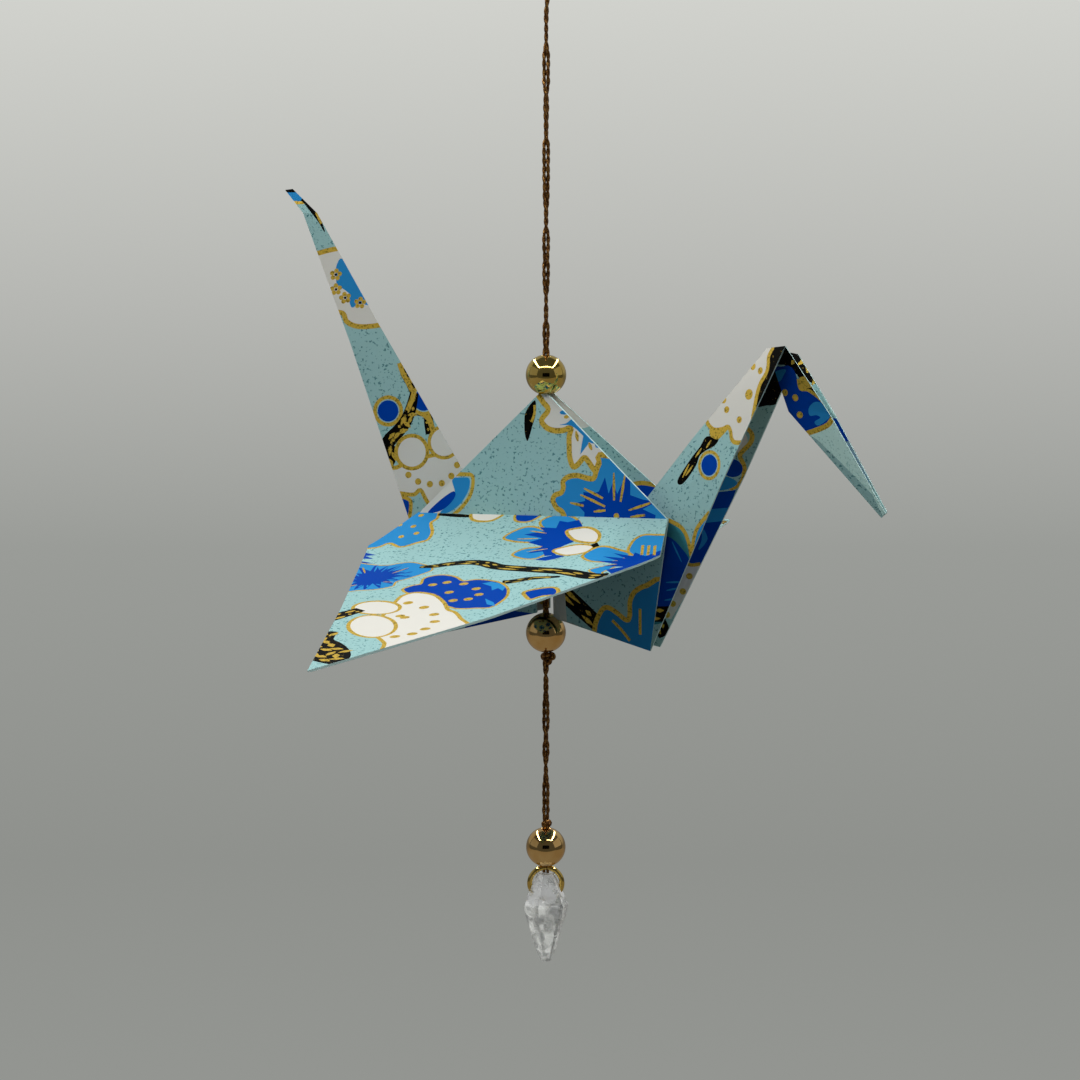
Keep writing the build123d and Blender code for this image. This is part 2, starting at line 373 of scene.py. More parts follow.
def thread_piece(name, strands, material):
    """One mesh from several strands, smooth along the thread."""
    corners, faces, base = [], [], 0
    for points, strand_faces in strands:
        corners.extend(points.tolist())
        faces.extend([tuple(base + i for i in face) for face in strand_faces])
        base += len(points)
    mesh = bpy.data.meshes.new(name)
    mesh.from_pydata(corners, [], faces)
    mesh.materials.append(material)
    piece = bpy.data.objects.new(name, mesh)
    link_alone(piece)
    bpy.ops.object.mode_set(mode="EDIT")
    bpy.ops.mesh.select_all(action="SELECT")
    bpy.ops.mesh.normals_make_consistent(inside=False)
    bpy.ops.object.mode_set(mode="OBJECT")
    bpy.ops.object.shade_smooth_by_angle(angle=math.radians(60))
    return piece


def metallic_thread():
    """Foil-wrapped thread: broken gold glints over a dark brown core."""
    material, tree = new_material("gold_foil_thread")
    place = add_node(tree, "ShaderNodeTexCoord").outputs["Object"]
    flake = noise(tree, place, 0.3 * mm, 3.0)
    surface = add_node(
        tree,
        "ShaderNodeBsdfPrincipled",
        {
            "Base Color": coloured(tree, flake, [(0.36, "4A2C12"), (0.52, "7A5022"), (0.7, "B98E4C")]),
            "Metallic": 0.85,
            "Roughness": rescaled(tree, flake, (0.35, 0.7), (0.6, 0.3)),
        },
    )
    finish_material(tree, surface)
    return material


thread = metallic_thread()
strand_reach = 0.285 * mm
lay_turn = 26 * mm
strands = [plied_strand(cord_path, strand_reach, start, lay_turn, 3) for start in (0.4, 0.4 + math.pi)]
cord = thread_piece("metallic_cord", strands, thread)
place_piece(cord, "cord")

# Knots: an overhand knot under the lower bead, a small one over the bottom bead and the one
# that closes the loop, each tied in the same two strands.


def knot_path(centre, width, height, turn):
    """The line of an overhand knot, drawn up small."""
    path = []
    for i in range(181):
        t = 2 * math.pi * i / 180
        x = math.sin(t) + 2 * math.sin(2 * t)
        y = math.cos(t) - 2 * math.cos(2 * t)
        z = -math.sin(3 * t)
        across = x * math.cos(turn) - z * math.sin(turn)
        deep = x * math.sin(turn) + z * math.cos(turn)
        offset = (across * width / 6, deep * width / 6, y * height / 6)
        path.append([middle + step for middle, step in zip(centre, offset)])
    return np.array(path)


bead_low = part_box("lower_bead")[0].z
small_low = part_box("bottom_bead")[1].z
for name, centre, width, height, turn in (
    ("bead_knot", (0.3 * mm, 0.1 * mm, bead_low - 0.95 * mm), 1.45 * mm, 1.35 * mm, 0.5),
    ("small_knot", (0.15 * mm, 0, small_low + 0.65 * mm), 0.9 * mm, 0.8 * mm, 1.2),
    ("loop_knot", (-0.575 * mm, 0, -26 * mm), 2.2 * mm, 2.1 * mm, 0.2),
):
    tied = [plied_strand(knot_path(centre, width, height, turn), 0.0, 0.3, lay_turn, 5, 0.46 * mm)]
    knot = thread_piece(name, tied, thread)
    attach(knot, "root")

# Paper crane: one square of washi, screen printed with plum blossom and folded. It keeps the
# solid's form, with the print cut into its faces, so that each ink has faces of its own. The
# outlines are in millimetres from the peak, on plan for wings and from the side for the rest.


def smooth_line(points, closed=False, steps=6):
    """A smooth line through given points."""
    points = np.array(points, float)
    count = len(points)
    line = []
    for i in range(count if closed else count - 1):
        near = [(i + k) % count if closed else min(max(i + k, 0), count - 1) for k in (-1, 0, 1, 2)]
        a, b, c, d = points[near]
        for t in np.linspace(0, 1, steps, endpoint=False):
            first = (c - a) * t / 2
            second = (a - 2.5 * b + 2 * c - d / 2) * t**2
            third = (1.5 * (b - c) + (d - a) / 2) * t**3
            line.append(b + first + second + third)
    if not closed:
        line.append(points[-1])
    return np.array(line)


def disc(x, y, radius, squash=1.0, turn=0.0):
    """The outline of a round or oval spot."""
    t = np.linspace(0, 2 * math.pi, max(12, int(10 + 8 * radius)), endpoint=False)
    along, across = radius * np.cos(t), radius * squash * np.sin(t)
    c, s = math.cos(turn), math.sin(turn)
    return np.stack([x + along * c - across * s, y + along * s + across * c], axis=1)


def stroke(points, half_widths, steps=6):
    """The outline of a brush line with the half widths given along it."""
    line = smooth_line(points, steps=steps)
    share = np.linspace(0, 1, len(line))
    widths = np.interp(share, np.linspace(0, 1, len(half_widths)), half_widths)
    heading = np.gradient(line, axis=0)
    heading /= np.linalg.norm(heading, axis=1)[:, None]
    side = np.stack([-heading[:, 1], heading[:, 0]], axis=1) * widths[:, None]
    return np.concatenate([line + side, (line - side)[::-1]])


def gold_line(draw, points, half_width=0.3):
    """A line of gold ink."""
    draw.append(("gold", stroke(points, (half_width, half_width))))


def gold_dots(draw, places, radius=0.5):
    """Spots of gold ink."""
    for x, y in places:
        draw.append(("gold", disc(x, y, radius)))


def petals(draw, ink, discs, rim=0.5):
    """Round petals that run together, with one gold line round them all."""
    for x, y, radius in discs:
        draw.append(("gold", disc(x, y, radius + rim)))
    for x, y, radius in discs:
        draw.append((ink, disc(x, y, radius)))


def field(draw, ink, points, rim=0.0, steps=4):
    """A field of one ink inside a smooth outline, with a gold line along it."""
    outline = smooth_line(points, closed=True, steps=steps)
    draw.append((ink, outline))
    if rim:
        closed = np.concatenate([outline, outline[:2]])
        draw.append(("gold", stroke(closed, (rim, rim), steps=1)))


def facet(draw, ink, points):
    """A field of one ink with straight edges and sharp points."""
    draw.append((ink, np.array(points, float)))


def flicks(draw, ink, lines, half_widths, steps=4):
    """Short brush strokes of one ink, which swell and end in points."""
    for points in lines:
        draw.append((ink, stroke(points, half_widths, steps=steps)))


def round_place(x, y, reach, angle):
    """The place at a reach and an angle from a middle."""
    return x + reach * math.cos(angle), y + reach * math.sin(angle)


def feathers(draw, ink, x, y, inner, outer, count, seed):
    """A ragged star of pointed strokes out from a middle."""
    strokes = random.Random(seed)
    draw.append((ink, disc(x, y, inner)))
    for k in range(count):
        angle = 2 * math.pi * (k + strokes.uniform(-0.3, 0.3)) / count
        reach = outer * strokes.uniform(0.7, 1.1)
        start = round_place(x, y, 0.5 * inner, angle)
        tip = round_place(x, y, reach, angle)
        draw.append((ink, stroke((start, tip), (0.5, 0.45, 0.06), steps=4)))


def berry(draw, x, y, radius, ring=0.7):
    """A blue berry in a gold ring."""
    draw.append(("gold", disc(x, y, radius + ring)))
    draw.append(("aqua", disc(x, y, radius + 0.15)))
    draw.append(("deep", disc(x, y, radius)))


def gold_star(draw, x, y, size=0.55):
    """A tiny five-petalled flower of gold ink with a black eye."""
    for k in range(5):
        draw.append(("gold", disc(*round_place(x, y, size, 1.2566 * k + x), 0.6 * size)))
    draw.append(("bark", disc(x, y, 0.35 * size)))


def dotted_blossom(draw, x, y, size, turn):
    """A white blossom with gold dots round its middle."""
    ring = [turn + 2 * math.pi * k / 5 for k in range(5)]
    places = [(*round_place(x, y, size * 0.62, a), size * 0.46) for a in ring]
    petals(draw, "white", places + [(x, y, size * 0.5)])
    gold_dots(draw, [round_place(x, y, size * 0.42, a + 0.6) for a in ring], 0.45)
    gold_dots(draw, [(x, y)], 0.7)


def deep_blossom(draw, x, y, size, turn):
    """A deep blue blossom with a lighter petal and gold dots."""
    ring = [turn + 2 * math.pi * k / 5 for k in range(5)]
    places = [(*round_place(x, y, size * 0.6, a), size * 0.44) for a in ring]
    petals(draw, "deep", places + [(x, y, size * 0.5)])
    draw.append(("sky", disc(*places[0][:2], size * 0.32)))
    gold_dots(draw, [round_place(x, y, size * 0.45, a + 0.6) for a in ring], 0.45)


def feathered_blossom(draw, x, y, size, turn):
    """A sky blue blossom with a ragged deep blue star in it."""
    ring = [turn + 2 * math.pi * k / 6 for k in range(6)]
    petals(draw, "sky", [(*round_place(x, y, size * 0.65, a), size * 0.4) for a in ring])
    feathers(draw, "deep", x, y, size * 0.45, size * 0.95, 13, int(100 * turn))
    for a in ring[::2]:
        gold_line(draw, [round_place(x, y, size * reach, a) for reach in (0.3, 0.7)], 0.15)


def branch(draw, points, half_widths):
    """A black branch with broken gold veins along it."""
    draw.append(("bark", stroke(points, [w + 0.12 for w in half_widths])))
    line = smooth_line(points, steps=8)
    heading = np.gradient(line, axis=0)
    side = np.stack([-heading[:, 1], heading[:, 0]], axis=1) / np.linalg.norm(heading, axis=1)[:, None]
    widths = np.interp(np.linspace(0, 1, len(line)), np.linspace(0, 1, len(half_widths)), half_widths)
    veins = random.Random(len(line))
    for across in (-0.45, 0.4):
        start = veins.randrange(3)
        while start + 3 < len(line):
            end = min(start + veins.randrange(3, 8), len(line))
            vein = (line + side * (across + veins.uniform(-0.2, 0.2)) * widths[:, None])[start:end]
            draw.append(("gold", stroke(vein, (0.05, 0.27 * widths[start] + 0.05, 0.05), steps=1)))
            start = end + veins.randrange(1, 4)


def gold_dabs(draw, places, length, seed, half_width=0.3):
    """Short gold strokes that lie every way, as on bark."""
    turns = random.Random(seed)
    for x, y in places:
        a = turns.uniform(0, 3.14)
        c, s = length * math.cos(a), length * math.sin(a)
        bent = [(x - c, y - s), (x, y + 0.1), (x + c, y + s)]
        draw.append(("gold", stroke(bent, (0.08, half_width, 0.08), steps=2)))


def scattered_print(low, high, seed):
    """Blossom, berries and branches set out over a panel, none of them twice alike."""
    scatter = random.Random(seed)
    draw = []
    taken = []
    for _ in range(400):
        x, y = scatter.uniform(low[0], high[0]), scatter.uniform(low[1], high[1])
        size = scatter.uniform(4.2, 6.2)
        if any(math.hypot(x - a, y - b) < size + s + 1.2 for a, b, s in taken):
            continue
        taken.append((x, y, size))
        turn = scatter.uniform(0, 6.28)
        kind = scatter.choice("dotted deep feathered feathered branch".split())
        if kind == "branch":
            c, s = math.cos(turn), math.sin(turn)
            bends = [
                (x + k * c * size, y + k * s * size + scatter.uniform(-1, 1))
                for k in (-1, -0.4, 0.2, 0.9)
            ]
            branch(draw, bends, (0.4, 0.8, 0.9, 0.5))
            berry(draw, x - s * 2.8, y + c * 2.8, 1.4)
        else:
            blossoms = {"dotted": dotted_blossom, "deep": deep_blossom, "feathered": feathered_blossom}
            blossoms[kind](draw, x, y, size, turn)
    return draw


def wing_print():
    """The right wing's top: a branch across, blossom either side of it."""
    draw = []
    # Blossom at the rear of the root, and blue points on the rear edge
    field(draw, "sky", [
        (-24, -14), (-22, -9), (-21.5, -5), (-20, -2), (-17.7, -1.5), (-15.9, -2.4), (-14.9, -4.7),
        (-15.2, -6.1), (-13.7, -8.4), (-13.3, -10.5), (-14.5, -11.5), (-16.3, -13), (-18.7, -11.9),
        (-20, -13.5),
    ], 0.25)
    gold_dots(draw, [
        (-17.9, -4.1), (-20.2, -4), (-19.9, -6.8), (-17.5, -7.1), (-17.9, -9.9), (-16, -8.9),
    ], 0.42)
    facet(draw, "deep", [(-21, -15.4), (-18.2, -16.4), (-19.6, -17), (-17.6, -18.2), (-20.5, -18.4)])
    facet(draw, "deep", [(-20, -19), (-16.4, -20.2), (-19.5, -20.6)])
    # Bits along the root fold
    draw.append(("bark", stroke([(-15.3, -3.7), (-12, -3.9), (-9.3, -4)], (0.3, 0.45, 0.3))))
    field(draw, "white", [(-10, -2.6), (-5.3, -2.6), (-5.8, -4.8), (-7.5, -5.3), (-9.4, -4.7)], 0.25)
    field(draw, "deep", [(-3, -2.6), (0.7, -2.6), (0.2, -4.7), (-1.2, -5.2), (-2.6, -4.6)], 0.2)
    # Tulip blossom by the root
    field(draw, "sky", [
        (-1.9, -9.4), (-1, -7.3), (0.6, -6.3), (2.9, -6.9), (4.9, -8.6), (4.1, -10.2), (1.9, -10.4),
        (-0.1, -10.2),
    ], 0.2)
    field(draw, "sky", [
        (2, -14.4), (2.6, -12.4), (4.5, -11.7), (6.4, -11), (7.9, -12.4), (6.8, -14), (6.1, -15.6),
        (4.4, -15.8),
    ], 0.2)
    field(draw, "sky", [
        (1.6, -5.1), (2.3, -3.5), (4, -3), (6.3, -3.7), (8.1, -5.7), (6.7, -6.8), (4.9, -7),
        (3.2, -6.8),
    ], 0.2)
    facet(draw, "deep", [(6.3, -16.1), (6.9, -15), (8.2, -13.9), (9.9, -14.2), (9, -15.5), (8, -16.4)])
    facet(draw, "deep", [
        (0.8, -8.4), (3.4, -7.4), (2.2, -6.4), (4.8, -6.5), (4.4, -4.6), (5.8, -4.9), (7.2, -4.2),
        (8.6, -5.9), (7.1, -6.8), (7.2, -8.3), (9.2, -9.7), (8.3, -10.8), (7.2, -12.5), (8.4, -13.9),
        (7, -14.5), (5.9, -12.9), (4, -13.8), (5.1, -11.4), (2.4, -10.4), (4, -9.2),
    ])
    flicks(draw, "gold", [
        ((1.2, -7.4), (4, -7.9)), ((0.3, -9.6), (3.4, -9.3)), ((3.6, -13.2), (6.2, -12)),
    ], (0.06, 0.16, 0.06), steps=3)
    field(draw, "white", [
        (6.8, -7.3), (7.7, -6.5), (9.4, -6.1), (11, -6.8), (12.2, -8.1), (12.4, -9.8), (10.5, -9.9),
        (8.6, -9.2),
    ], 0.25)
    field(draw, "white", [
        (7.3, -12.6), (8.5, -11.3), (10.4, -10.5), (12.6, -10.9), (12.4, -12.5), (11.1, -13.6),
        (9.4, -13.9),
    ], 0.2)
    draw.append(("bark", stroke([(12.3, -10.2), (13.4, -11.4), (14, -12.6)], (0.5, 0.4, 0.1))))
    # Blossom at the front corner
    field(draw, "sky", [
        (12.4, -14), (12.9, -11.6), (14.3, -10.8), (16.9, -11.7), (18.9, -12.8), (18.4, -14.9),
        (16.7, -16), (14.4, -15.8),
    ], 0.22)
    field(draw, "sky", [
        (18.5, -12.4), (17.7, -9.4), (18.4, -7.7), (20.3, -7.5), (23, -7.8), (25, -10.8),
        (24.6, -14.3), (21.7, -14.1),
    ], 0.22)
    field(draw, "sky", [
        (16.2, -20), (17.2, -17.9), (18.9, -16.8), (18.9, -18.8), (18.4, -20.5), (19.6, -22),
    ], 0.15)
    facet(draw, "deep", [
        (26, -11.8), (22.7, -11.5), (21.4, -13.4), (19.4, -12.3), (19.6, -13.5), (16.4, -12.7),
        (18.9, -14.3), (15.4, -13.9), (18.4, -15.4), (15.2, -15.7), (18.9, -16.8), (17.2, -17.8),
        (20.2, -17.8), (18.4, -19.3), (20, -21), (22, -19.5), (26, -15),
    ])
    for x in (19.6, 20.5, 21.4):
        gold_line(draw, [(x, -10.2), (x + 1.1, -13)], 0.2)
    # Feathered blossom at the rear edge
    field(draw, "sky", [
        (-14, -32.6), (-12.1, -31.9), (-9.8, -31.2), (-8.1, -29.6), (-8.6, -27.7), (-7.7, -26.2),
        (-6.5, -23.6), (-6.3, -21.8), (-7.9, -20.3), (-10.9, -19.1), (-12.5, -19.7), (-14.2, -20.9),
        (-16.7, -20.7), (-19, -20.5), (-18, -25), (-16.5, -29),
    ], 0.15)
    tips = [
        (-10, -21.8), (-8.6, -23.2), (-7.7, -25), (-8.6, -27), (-8.7, -28.6), (-9.6, -30.4),
        (-11.4, -31.4), (-12.8, -31.6), (-14.4, -31.4), (-15.6, -29.6), (-16.9, -27.4), (-17.6, -25),
        (-17.4, -22.4), (-15.6, -21), (-13.6, -21), (-11.8, -20.6),
    ]
    draw.append(("deep", disc(-13.2, -25.9, 3.0, 0.8, 0.5)))
    for x, y in tips:
        feather = [(-13.2, -25.9), (0.4 * x - 7.9, 0.4 * y - 15.5), (x, y)]
        draw.append(("deep", stroke(feather, (0.9, 0.75, 0.08), steps=3)))
    for k, (x, y) in enumerate(tips):
        ink = "gold" if k % 4 == 0 else "sky"
        vein = [(0.55 * x - 5.7, 0.55 * y - 12.2), (0.93 * x - 0.9, 0.93 * y - 1.2)]
        draw.append((ink, stroke(vein, (0.05, 0.17, 0.05), steps=3)))
    # Branch across the wing, with a twig
    branch(draw, [
        (-8.7, -21), (-6.7, -20.4), (-5, -19.2), (-2.5, -18.2), (0, -18.5), (2.9, -19.8), (8.1, -20.3),
        (13.1, -20.8), (17.5, -22.2), (19.8, -21.6),
    ], (0.4, 0.7, 0.85, 0.95, 1.0, 1.0, 1.05, 1.1, 1.15, 0.9))
    branch(draw, [(6.6, -26.2), (8.1, -25.4), (9.9, -24), (13.4, -22.9)], (0.7, 0.7, 0.6, 0.25))
    # Deep blue blossom
    field(draw, "deep", [
        (-5.2, -31.6), (-5.5, -29.1), (-4.6, -28.2), (-5.4, -26), (-4.8, -24.6), (-3.3, -24),
        (-1.1, -24.7), (0.8, -26.2), (2.3, -25.4), (4.5, -25.6), (6.6, -26.5), (8.7, -28.7),
        (10.1, -31.7), (10.4, -34.2), (10.1, -36.4), (8.2, -36.9), (6.3, -37.4), (4.1, -36.7),
    ], 0.2)
    facet(draw, "sky", [
        (4, -27), (4.9, -26.1), (6.6, -26.7), (8, -28), (8.4, -29.6), (7.2, -28.6), (6.8, -29.6),
        (5.9, -28),
    ])
    facet(draw, "sky", [(7.6, -33), (9.5, -34.3), (10.6, -35.9), (9, -35.2)])
    gold_dots(draw, [
        (-2.7, -28.3), (-1.2, -27.1), (1.5, -27.4), (4.3, -29.2), (5.9, -31.5), (1.3, -31.1),
        (3.6, -34.3), (5.4, -33.5),
    ], 0.62)
    # Small blue blossom on the front edge
    field(draw, "deep", [
        (11.6, -29.8), (12.8, -28.2), (14.6, -27.4), (15.9, -28.5), (16.4, -30.3), (14.9, -31.1),
        (14, -32.6), (12.8, -31.6),
    ], 0.28)
    # White dotted blossom
    field(draw, "white", [
        (-4.2, -35.4), (-4.4, -33), (-3.5, -31.8), (-1.8, -31.8), (0.3, -32.8), (3, -35.5),
        (4.8, -37.9), (6.4, -38.9), (8.4, -41.2), (11.5, -46), (7, -57), (4.5, -53.6), (3, -52),
        (0.6, -49.6), (-1.4, -46),
    ], 0.28)
    for x, y, radius, squash, turn in ((-5.4, -38.5, 3.4, 0.67, -0.35), (-1.4, -46.5, 5.5, 0.48, -0.9)):
        draw.append(("gold", disc(x, y, radius + 0.5, squash + 0.05, turn)))
        draw.append(("white", disc(x, y, radius, squash, turn)))
    gold_dots(draw, [
        (-2.1, -36), (1.1, -37.5), (4, -40.1), (5.8, -43.2), (6.3, -46.6), (5.8, -49), (4.2, -50.5),
    ], 0.68)
    gold_dots(draw, [(-0.2, -41.4), (0.8, -42)], 0.65)
    # Bark towards the tip
    branch(draw, [(-10.4, -47.4), (-8.8, -43.2), (-8, -41.2), (-7.2, -39.4)], (1.4, 1.4, 1.2, 0.9))
    field(draw, "bark", [
        (-7.5, -51.3), (-6.3, -49.9), (-4.7, -49.7), (-3.9, -51.2), (-3.1, -53), (-1.3, -54.3),
        (0.7, -56.1), (2.7, -58.6), (3.6, -61), (2.6, -63), (0.6, -62.6), (-1.8, -61.4), (-3.6, -59.6),
        (-5, -57.8), (-5, -55.6), (-6, -53.3),
    ])
    gold_dabs(draw, [
        (-5.5, -51.3), (-4.7, -52.9), (-3.5, -54.3), (-3.6, -56.3), (-2, -55.5), (-1.5, -57.5),
        (-0.4, -56.9), (0, -58.9), (-0.6, -60.3), (1.2, -59.7), (0.8, -61.7), (2, -60.9),
        (-4.4, -50.9), (1.4, -57.7), (-2.6, -58.4), (-1.6, -60),
    ], 0.95, 5, 0.5)
    return draw


def hump_print():
    """The right side of the hump: white blossom at the peak, a blue star at the front corner."""
    draw = []
    field(draw, "white", [
        (-0.4, -0.2), (-0.1, -1.5), (1, -2.7), (0.2, -3.9), (0.1, -4.5), (1, -5.3), (2.2, -5.6),
        (3.5, -5.5), (4.7, -5.1), (4.5, -6.3), (4.6, -7.6), (4.8, -9.2), (5.4, -10.4), (6.1, -10.1),
        (7, -9.1), (7.7, -9.6), (8.4, -10.4), (9, -10.8), (9.3, -9.7), (10.3, -8.6), (14, -6),
        (6, 0.5),
    ], 0.4)
    field(draw, "bark", [
        (-2.6, -3.5), (-1.9, -2.2), (-1.1, -1.6), (-0.9, -3.4), (-1.3, -5), (-1.9, -7.2), (-2.4, -6.4),
        (-2.6, -5),
    ])
    gold_line(draw, [(-1.2, -2.2), (-1.1, -3.3), (-1.5, -4.6)], 0.2)
    # A bird-like sprig in blue on the white
    draw.append(("sky", disc(3.6, -3, 0.8, 0.4, 0.1)))
    field(draw, "sky", [
        (2.9, -4.8), (3.9, -4.5), (4.9, -3.9), (6.1, -4.9), (7.6, -5.8), (8.6, -7), (7.6, -6.9),
        (6.4, -5.9), (4.7, -4.8),
    ])
    facet(draw, "sky", [(6.7, -6), (7.9, -6.1), (7.5, -7.2), (6.4, -8.7), (6.5, -7.4)])
    facet(draw, "sky", [(8.2, -6.5), (9.6, -7.7), (8.7, -7.6)])
    flicks(draw, "gold", [
        [(3.5, -3.7), (4.3, -3.5)], [(3.2, -2.1), (4.4, -2.9), (5.6, -4)], [(5.5, -5.5), (5.9, -6.9)],
        [(7.6, -7), (8.1, -8)], [(9.5, -8.2), (10.6, -9)],
    ], (0.1, 0.28, 0.1))
    # Star blossom at the base
    field(draw, "sky", [
        (10.3, -8.6), (9.4, -9.8), (9, -10.8), (8.7, -11.8), (7.8, -11.9), (6.2, -11.6), (4.9, -11.8),
        (4, -12.5), (4.1, -13.4), (3.8, -14.1), (2.9, -14.5), (2.6, -15.2), (3.2, -16.2), (4.2, -16.8),
        (4.8, -18.2), (5, -21), (23, -21), (23, -12),
    ], 0.38)
    facet(draw, "deep", [
        (7.2, -13.8), (8.9, -13.9), (9.6, -13.6), (10.4, -11.6), (11.1, -13.8), (11.7, -12.1),
        (12.4, -13.8), (13.4, -11.5), (14.2, -11), (14.4, -13.8), (16.3, -14.3), (18.4, -14.5),
        (16.4, -15.6), (18.4, -16.3), (18, -20), (7.6, -20), (7.6, -16.6), (6.2, -15.4), (7.6, -15),
    ])
    flicks(draw, "gold", [
        [(7.3, -13.3), (10.3, -14.5)], [(6.8, -14.2), (10.7, -15.6)], [(11.7, -10.9), (12, -14.7)],
        [(13.4, -11.1), (13, -14.8)], [(14.3, -15.9), (17.5, -14.7)], [(5.3, -15.4), (7.4, -15.7)],
        [(9, -16.4), (10.8, -16.1)], [(14.6, -16.8), (16.8, -16.4)],
    ], (0.1, 0.2, 0.14))
    gold_dots(draw, [(12.5, -16.8)], 0.42)
    # Rear corner
    facet(draw, "white", [(-18.6, -18.4), (-14, -12.2), (-12.6, -12.8), (-12.8, -15), (-15.4, -18.2)])
    field(draw, "sky", [
        (-13.6, -13.2), (-12.2, -12.9), (-10.8, -13), (-10.9, -14.8), (-12.2, -16.8), (-14, -18),
        (-15.2, -18), (-13.6, -16.6), (-13, -15.1),
    ])
    gold_line(draw, [
        (-13.6, -12.6), (-11.6, -12.4), (-10.3, -12.7), (-10.4, -15), (-11.6, -16.9), (-13, -18.2),
    ], 0.28)
    field(draw, "deep", [
        (-17.2, -18.2), (-15.8, -16.7), (-14.3, -15.5), (-13.2, -14.9), (-12.9, -15.5), (-13.7, -16.7),
        (-15.2, -17.8),
    ])
    return draw


def neck_print():
    """The right side of the neck: white blossom near the top, a bud, a berry, blue below."""
    draw = []
    facet(draw, "bark", [
        (34.2, 9), (34, 4.8), (33.1, 2.3), (32.7, -0.1), (32, -3), (31.3, -5.5), (40, -5), (40, 9),
    ])
    field(draw, "white", [
        (24, -3), (24.9, -3.9), (26, -4.4), (27.4, -4.2), (28.3, -3.8), (28.9, -4.3), (29.3, -5.3),
        (30.2, -5.7), (32.2, -5), (32.6, -1.5), (32.7, -0.1), (32.8, 1), (33.1, 2.3), (33.9, 3.7),
        (34, 4.8), (33.8, 5.9), (34.2, 7.8), (30, 9), (21.6, -2),
    ], 0.3)
    gold_dots(draw, [(31.2, 4.3), (32.7, 3.9), (26.9, -0.4), (27.7, -1.6), (30.2, -2.7)], 0.46)
    gold_dots(draw, [(31.3, 0.7)], 0.7)
    # Bud on its stalk
    field(draw, "bark", [
        (24.8, -5.4), (26.9, -5.4), (26.5, -6.4), (24.9, -7.3), (24, -8.1), (23.5, -9.5),
        (21.9, -11.7), (20.9, -12.2), (20.6, -11.6), (21.4, -10.2), (22.7, -8.3), (23.9, -6.8),
    ])
    field(draw, "gold", [
        (25.2, -4.4), (26.7, -4.4), (28.4, -4), (27.6, -5), (26.8, -5.6), (25.5, -5.3),
    ])
    flicks(draw, "gold", [
        [(25.7, -5.8), (25, -6.9)], [(24.2, -7), (23.3, -8.3)], [(23, -9.4), (21.9, -10.9)],
        [(22.3, -9.3), (21.4, -11.2)],
    ], (0.06, 0.17, 0.06))
    berry(draw, 25.9, -9.1, 1.4, 0.6)
    # Blue blossom either side of a notch
    # The left lobe is sky blue ink painted darker and greener for the shade it lies in: painted shade.
    field(draw, "painted_shade_sky", [
        (16, -16.6), (19, -17), (20.9, -17.5), (22.3, -18.3), (23.2, -19.8), (23.7, -21.2), (23, -25),
        (20, -31), (13, -31), (14, -20),
    ])
    field(draw, "sky", [
        (27.5, -14.5), (25.9, -16.1), (24.7, -17.5), (24.1, -19), (23.7, -21.2), (25, -22), (28, -17),
    ])
    field(draw, "deep", [
        (17, -19), (19.1, -19.3), (20.4, -19.6), (21.9, -20.6), (23.4, -22.3), (22.7, -24.9),
        (21.4, -28.7), (19, -29.4), (15, -29.6), (15, -22),
    ])
    gold_line(draw, [(18, -16.8), (20.9, -17.5), (22.3, -18.3), (23.2, -19.8), (23.7, -21.6)], 0.3)
    gold_line(draw, [(26.6, -15.3), (24.7, -17.5), (24.1, -19), (23.8, -21)], 0.3)
    flicks(draw, "sky", [
        [(20.4, -20), (22.1, -22.6)], [(19.6, -25.7), (22.5, -25.3)], [(19.7, -26.8), (21.9, -26.2)],
        [(19.4, -28.2), (21.6, -27.7)],
    ], (0.06, 0.14, 0.06))
    branch(draw, [(14, -30), (17.5, -30.3), (20.3, -29.9), (21.6, -29)], (0.9, 1.0, 0.9, 0.5))
    petals(draw, "white", [(12, -24, 2.2), (9, -27, 2.4), (13, -28, 2)], 0.4)
    gold_dots(draw, [(11, -25.5), (10, -28), (12.7, -26.5)], 0.45)
    return draw


def neck_inside_print():
    """The inside of the neck's left wall, seen past the near one."""
    draw = []
    # Black ink over the top of the inside, drawn as far as the dark there reaches: partly the print's
    # black, partly painted shade.
    field(draw, "bark", [
        (30, 9), (39, 9), (38, 0.6), (34.9, -0.2), (33.5, -0.9), (32.3, -1.1), (30.4, -0.4),
    ])
    field(draw, "white", [(26.6, -4.6), (28.8, -4.8), (29.4, -6), (28.7, -7.4), (26.6, -7.8)])
    gold_line(draw, [
        (29.3, -4.1), (30, -5.2), (29.7, -6.4), (28.7, -7.5), (28.2, -8.3), (28.6, -9.9), (28.1, -12),
        (26.6, -13),
    ], 0.3)
    draw.append(("deep", disc(27.1, -10, 1.3)))
    field(draw, "sky", [(24.8, -11), (26.8, -11.4), (27.6, -12.2), (26.4, -13), (24.6, -13)])
    facet(draw, "deep", [(24, -13.6), (27.4, -13.1), (26.5, -15.6), (23.4, -15.9)])
    facet(draw, "sky", [(23.4, -15.9), (26.5, -15.6), (25.6, -17.5), (22.6, -17.9)])
    facet(draw, "deep", [
        (22.6, -17.9), (25.6, -17.5), (24.4, -20.4), (22.6, -24.1), (21, -23.4), (21.6, -20.7),
    ])
    draw.append(("sky", stroke([(22.8, -18.4), (23.2, -20), (22.4, -21.6)], (0.1, 0.4, 0.1))))
    facet(draw, "white", [(20, -23.3), (22.6, -23.8), (21.6, -26.4), (18.6, -31.6), (16.6, -31.2)])
    gold_line(draw, [(20, -23.2), (21.3, -23.8), (22.6, -23.6)], 0.25)
    gold_dots(draw, [(21.1, -25.4), (20.2, -27.6), (18.8, -29.4), (18, -31)], 0.46)
    branch(draw, [(14.8, -29.8), (16.6, -31.8), (17.8, -34)], (0.9, 1.0, 0.8))
    petals(draw, "deep", [(11, -28, 2.2), (8.5, -31, 2.0)], 0.4)
    return draw


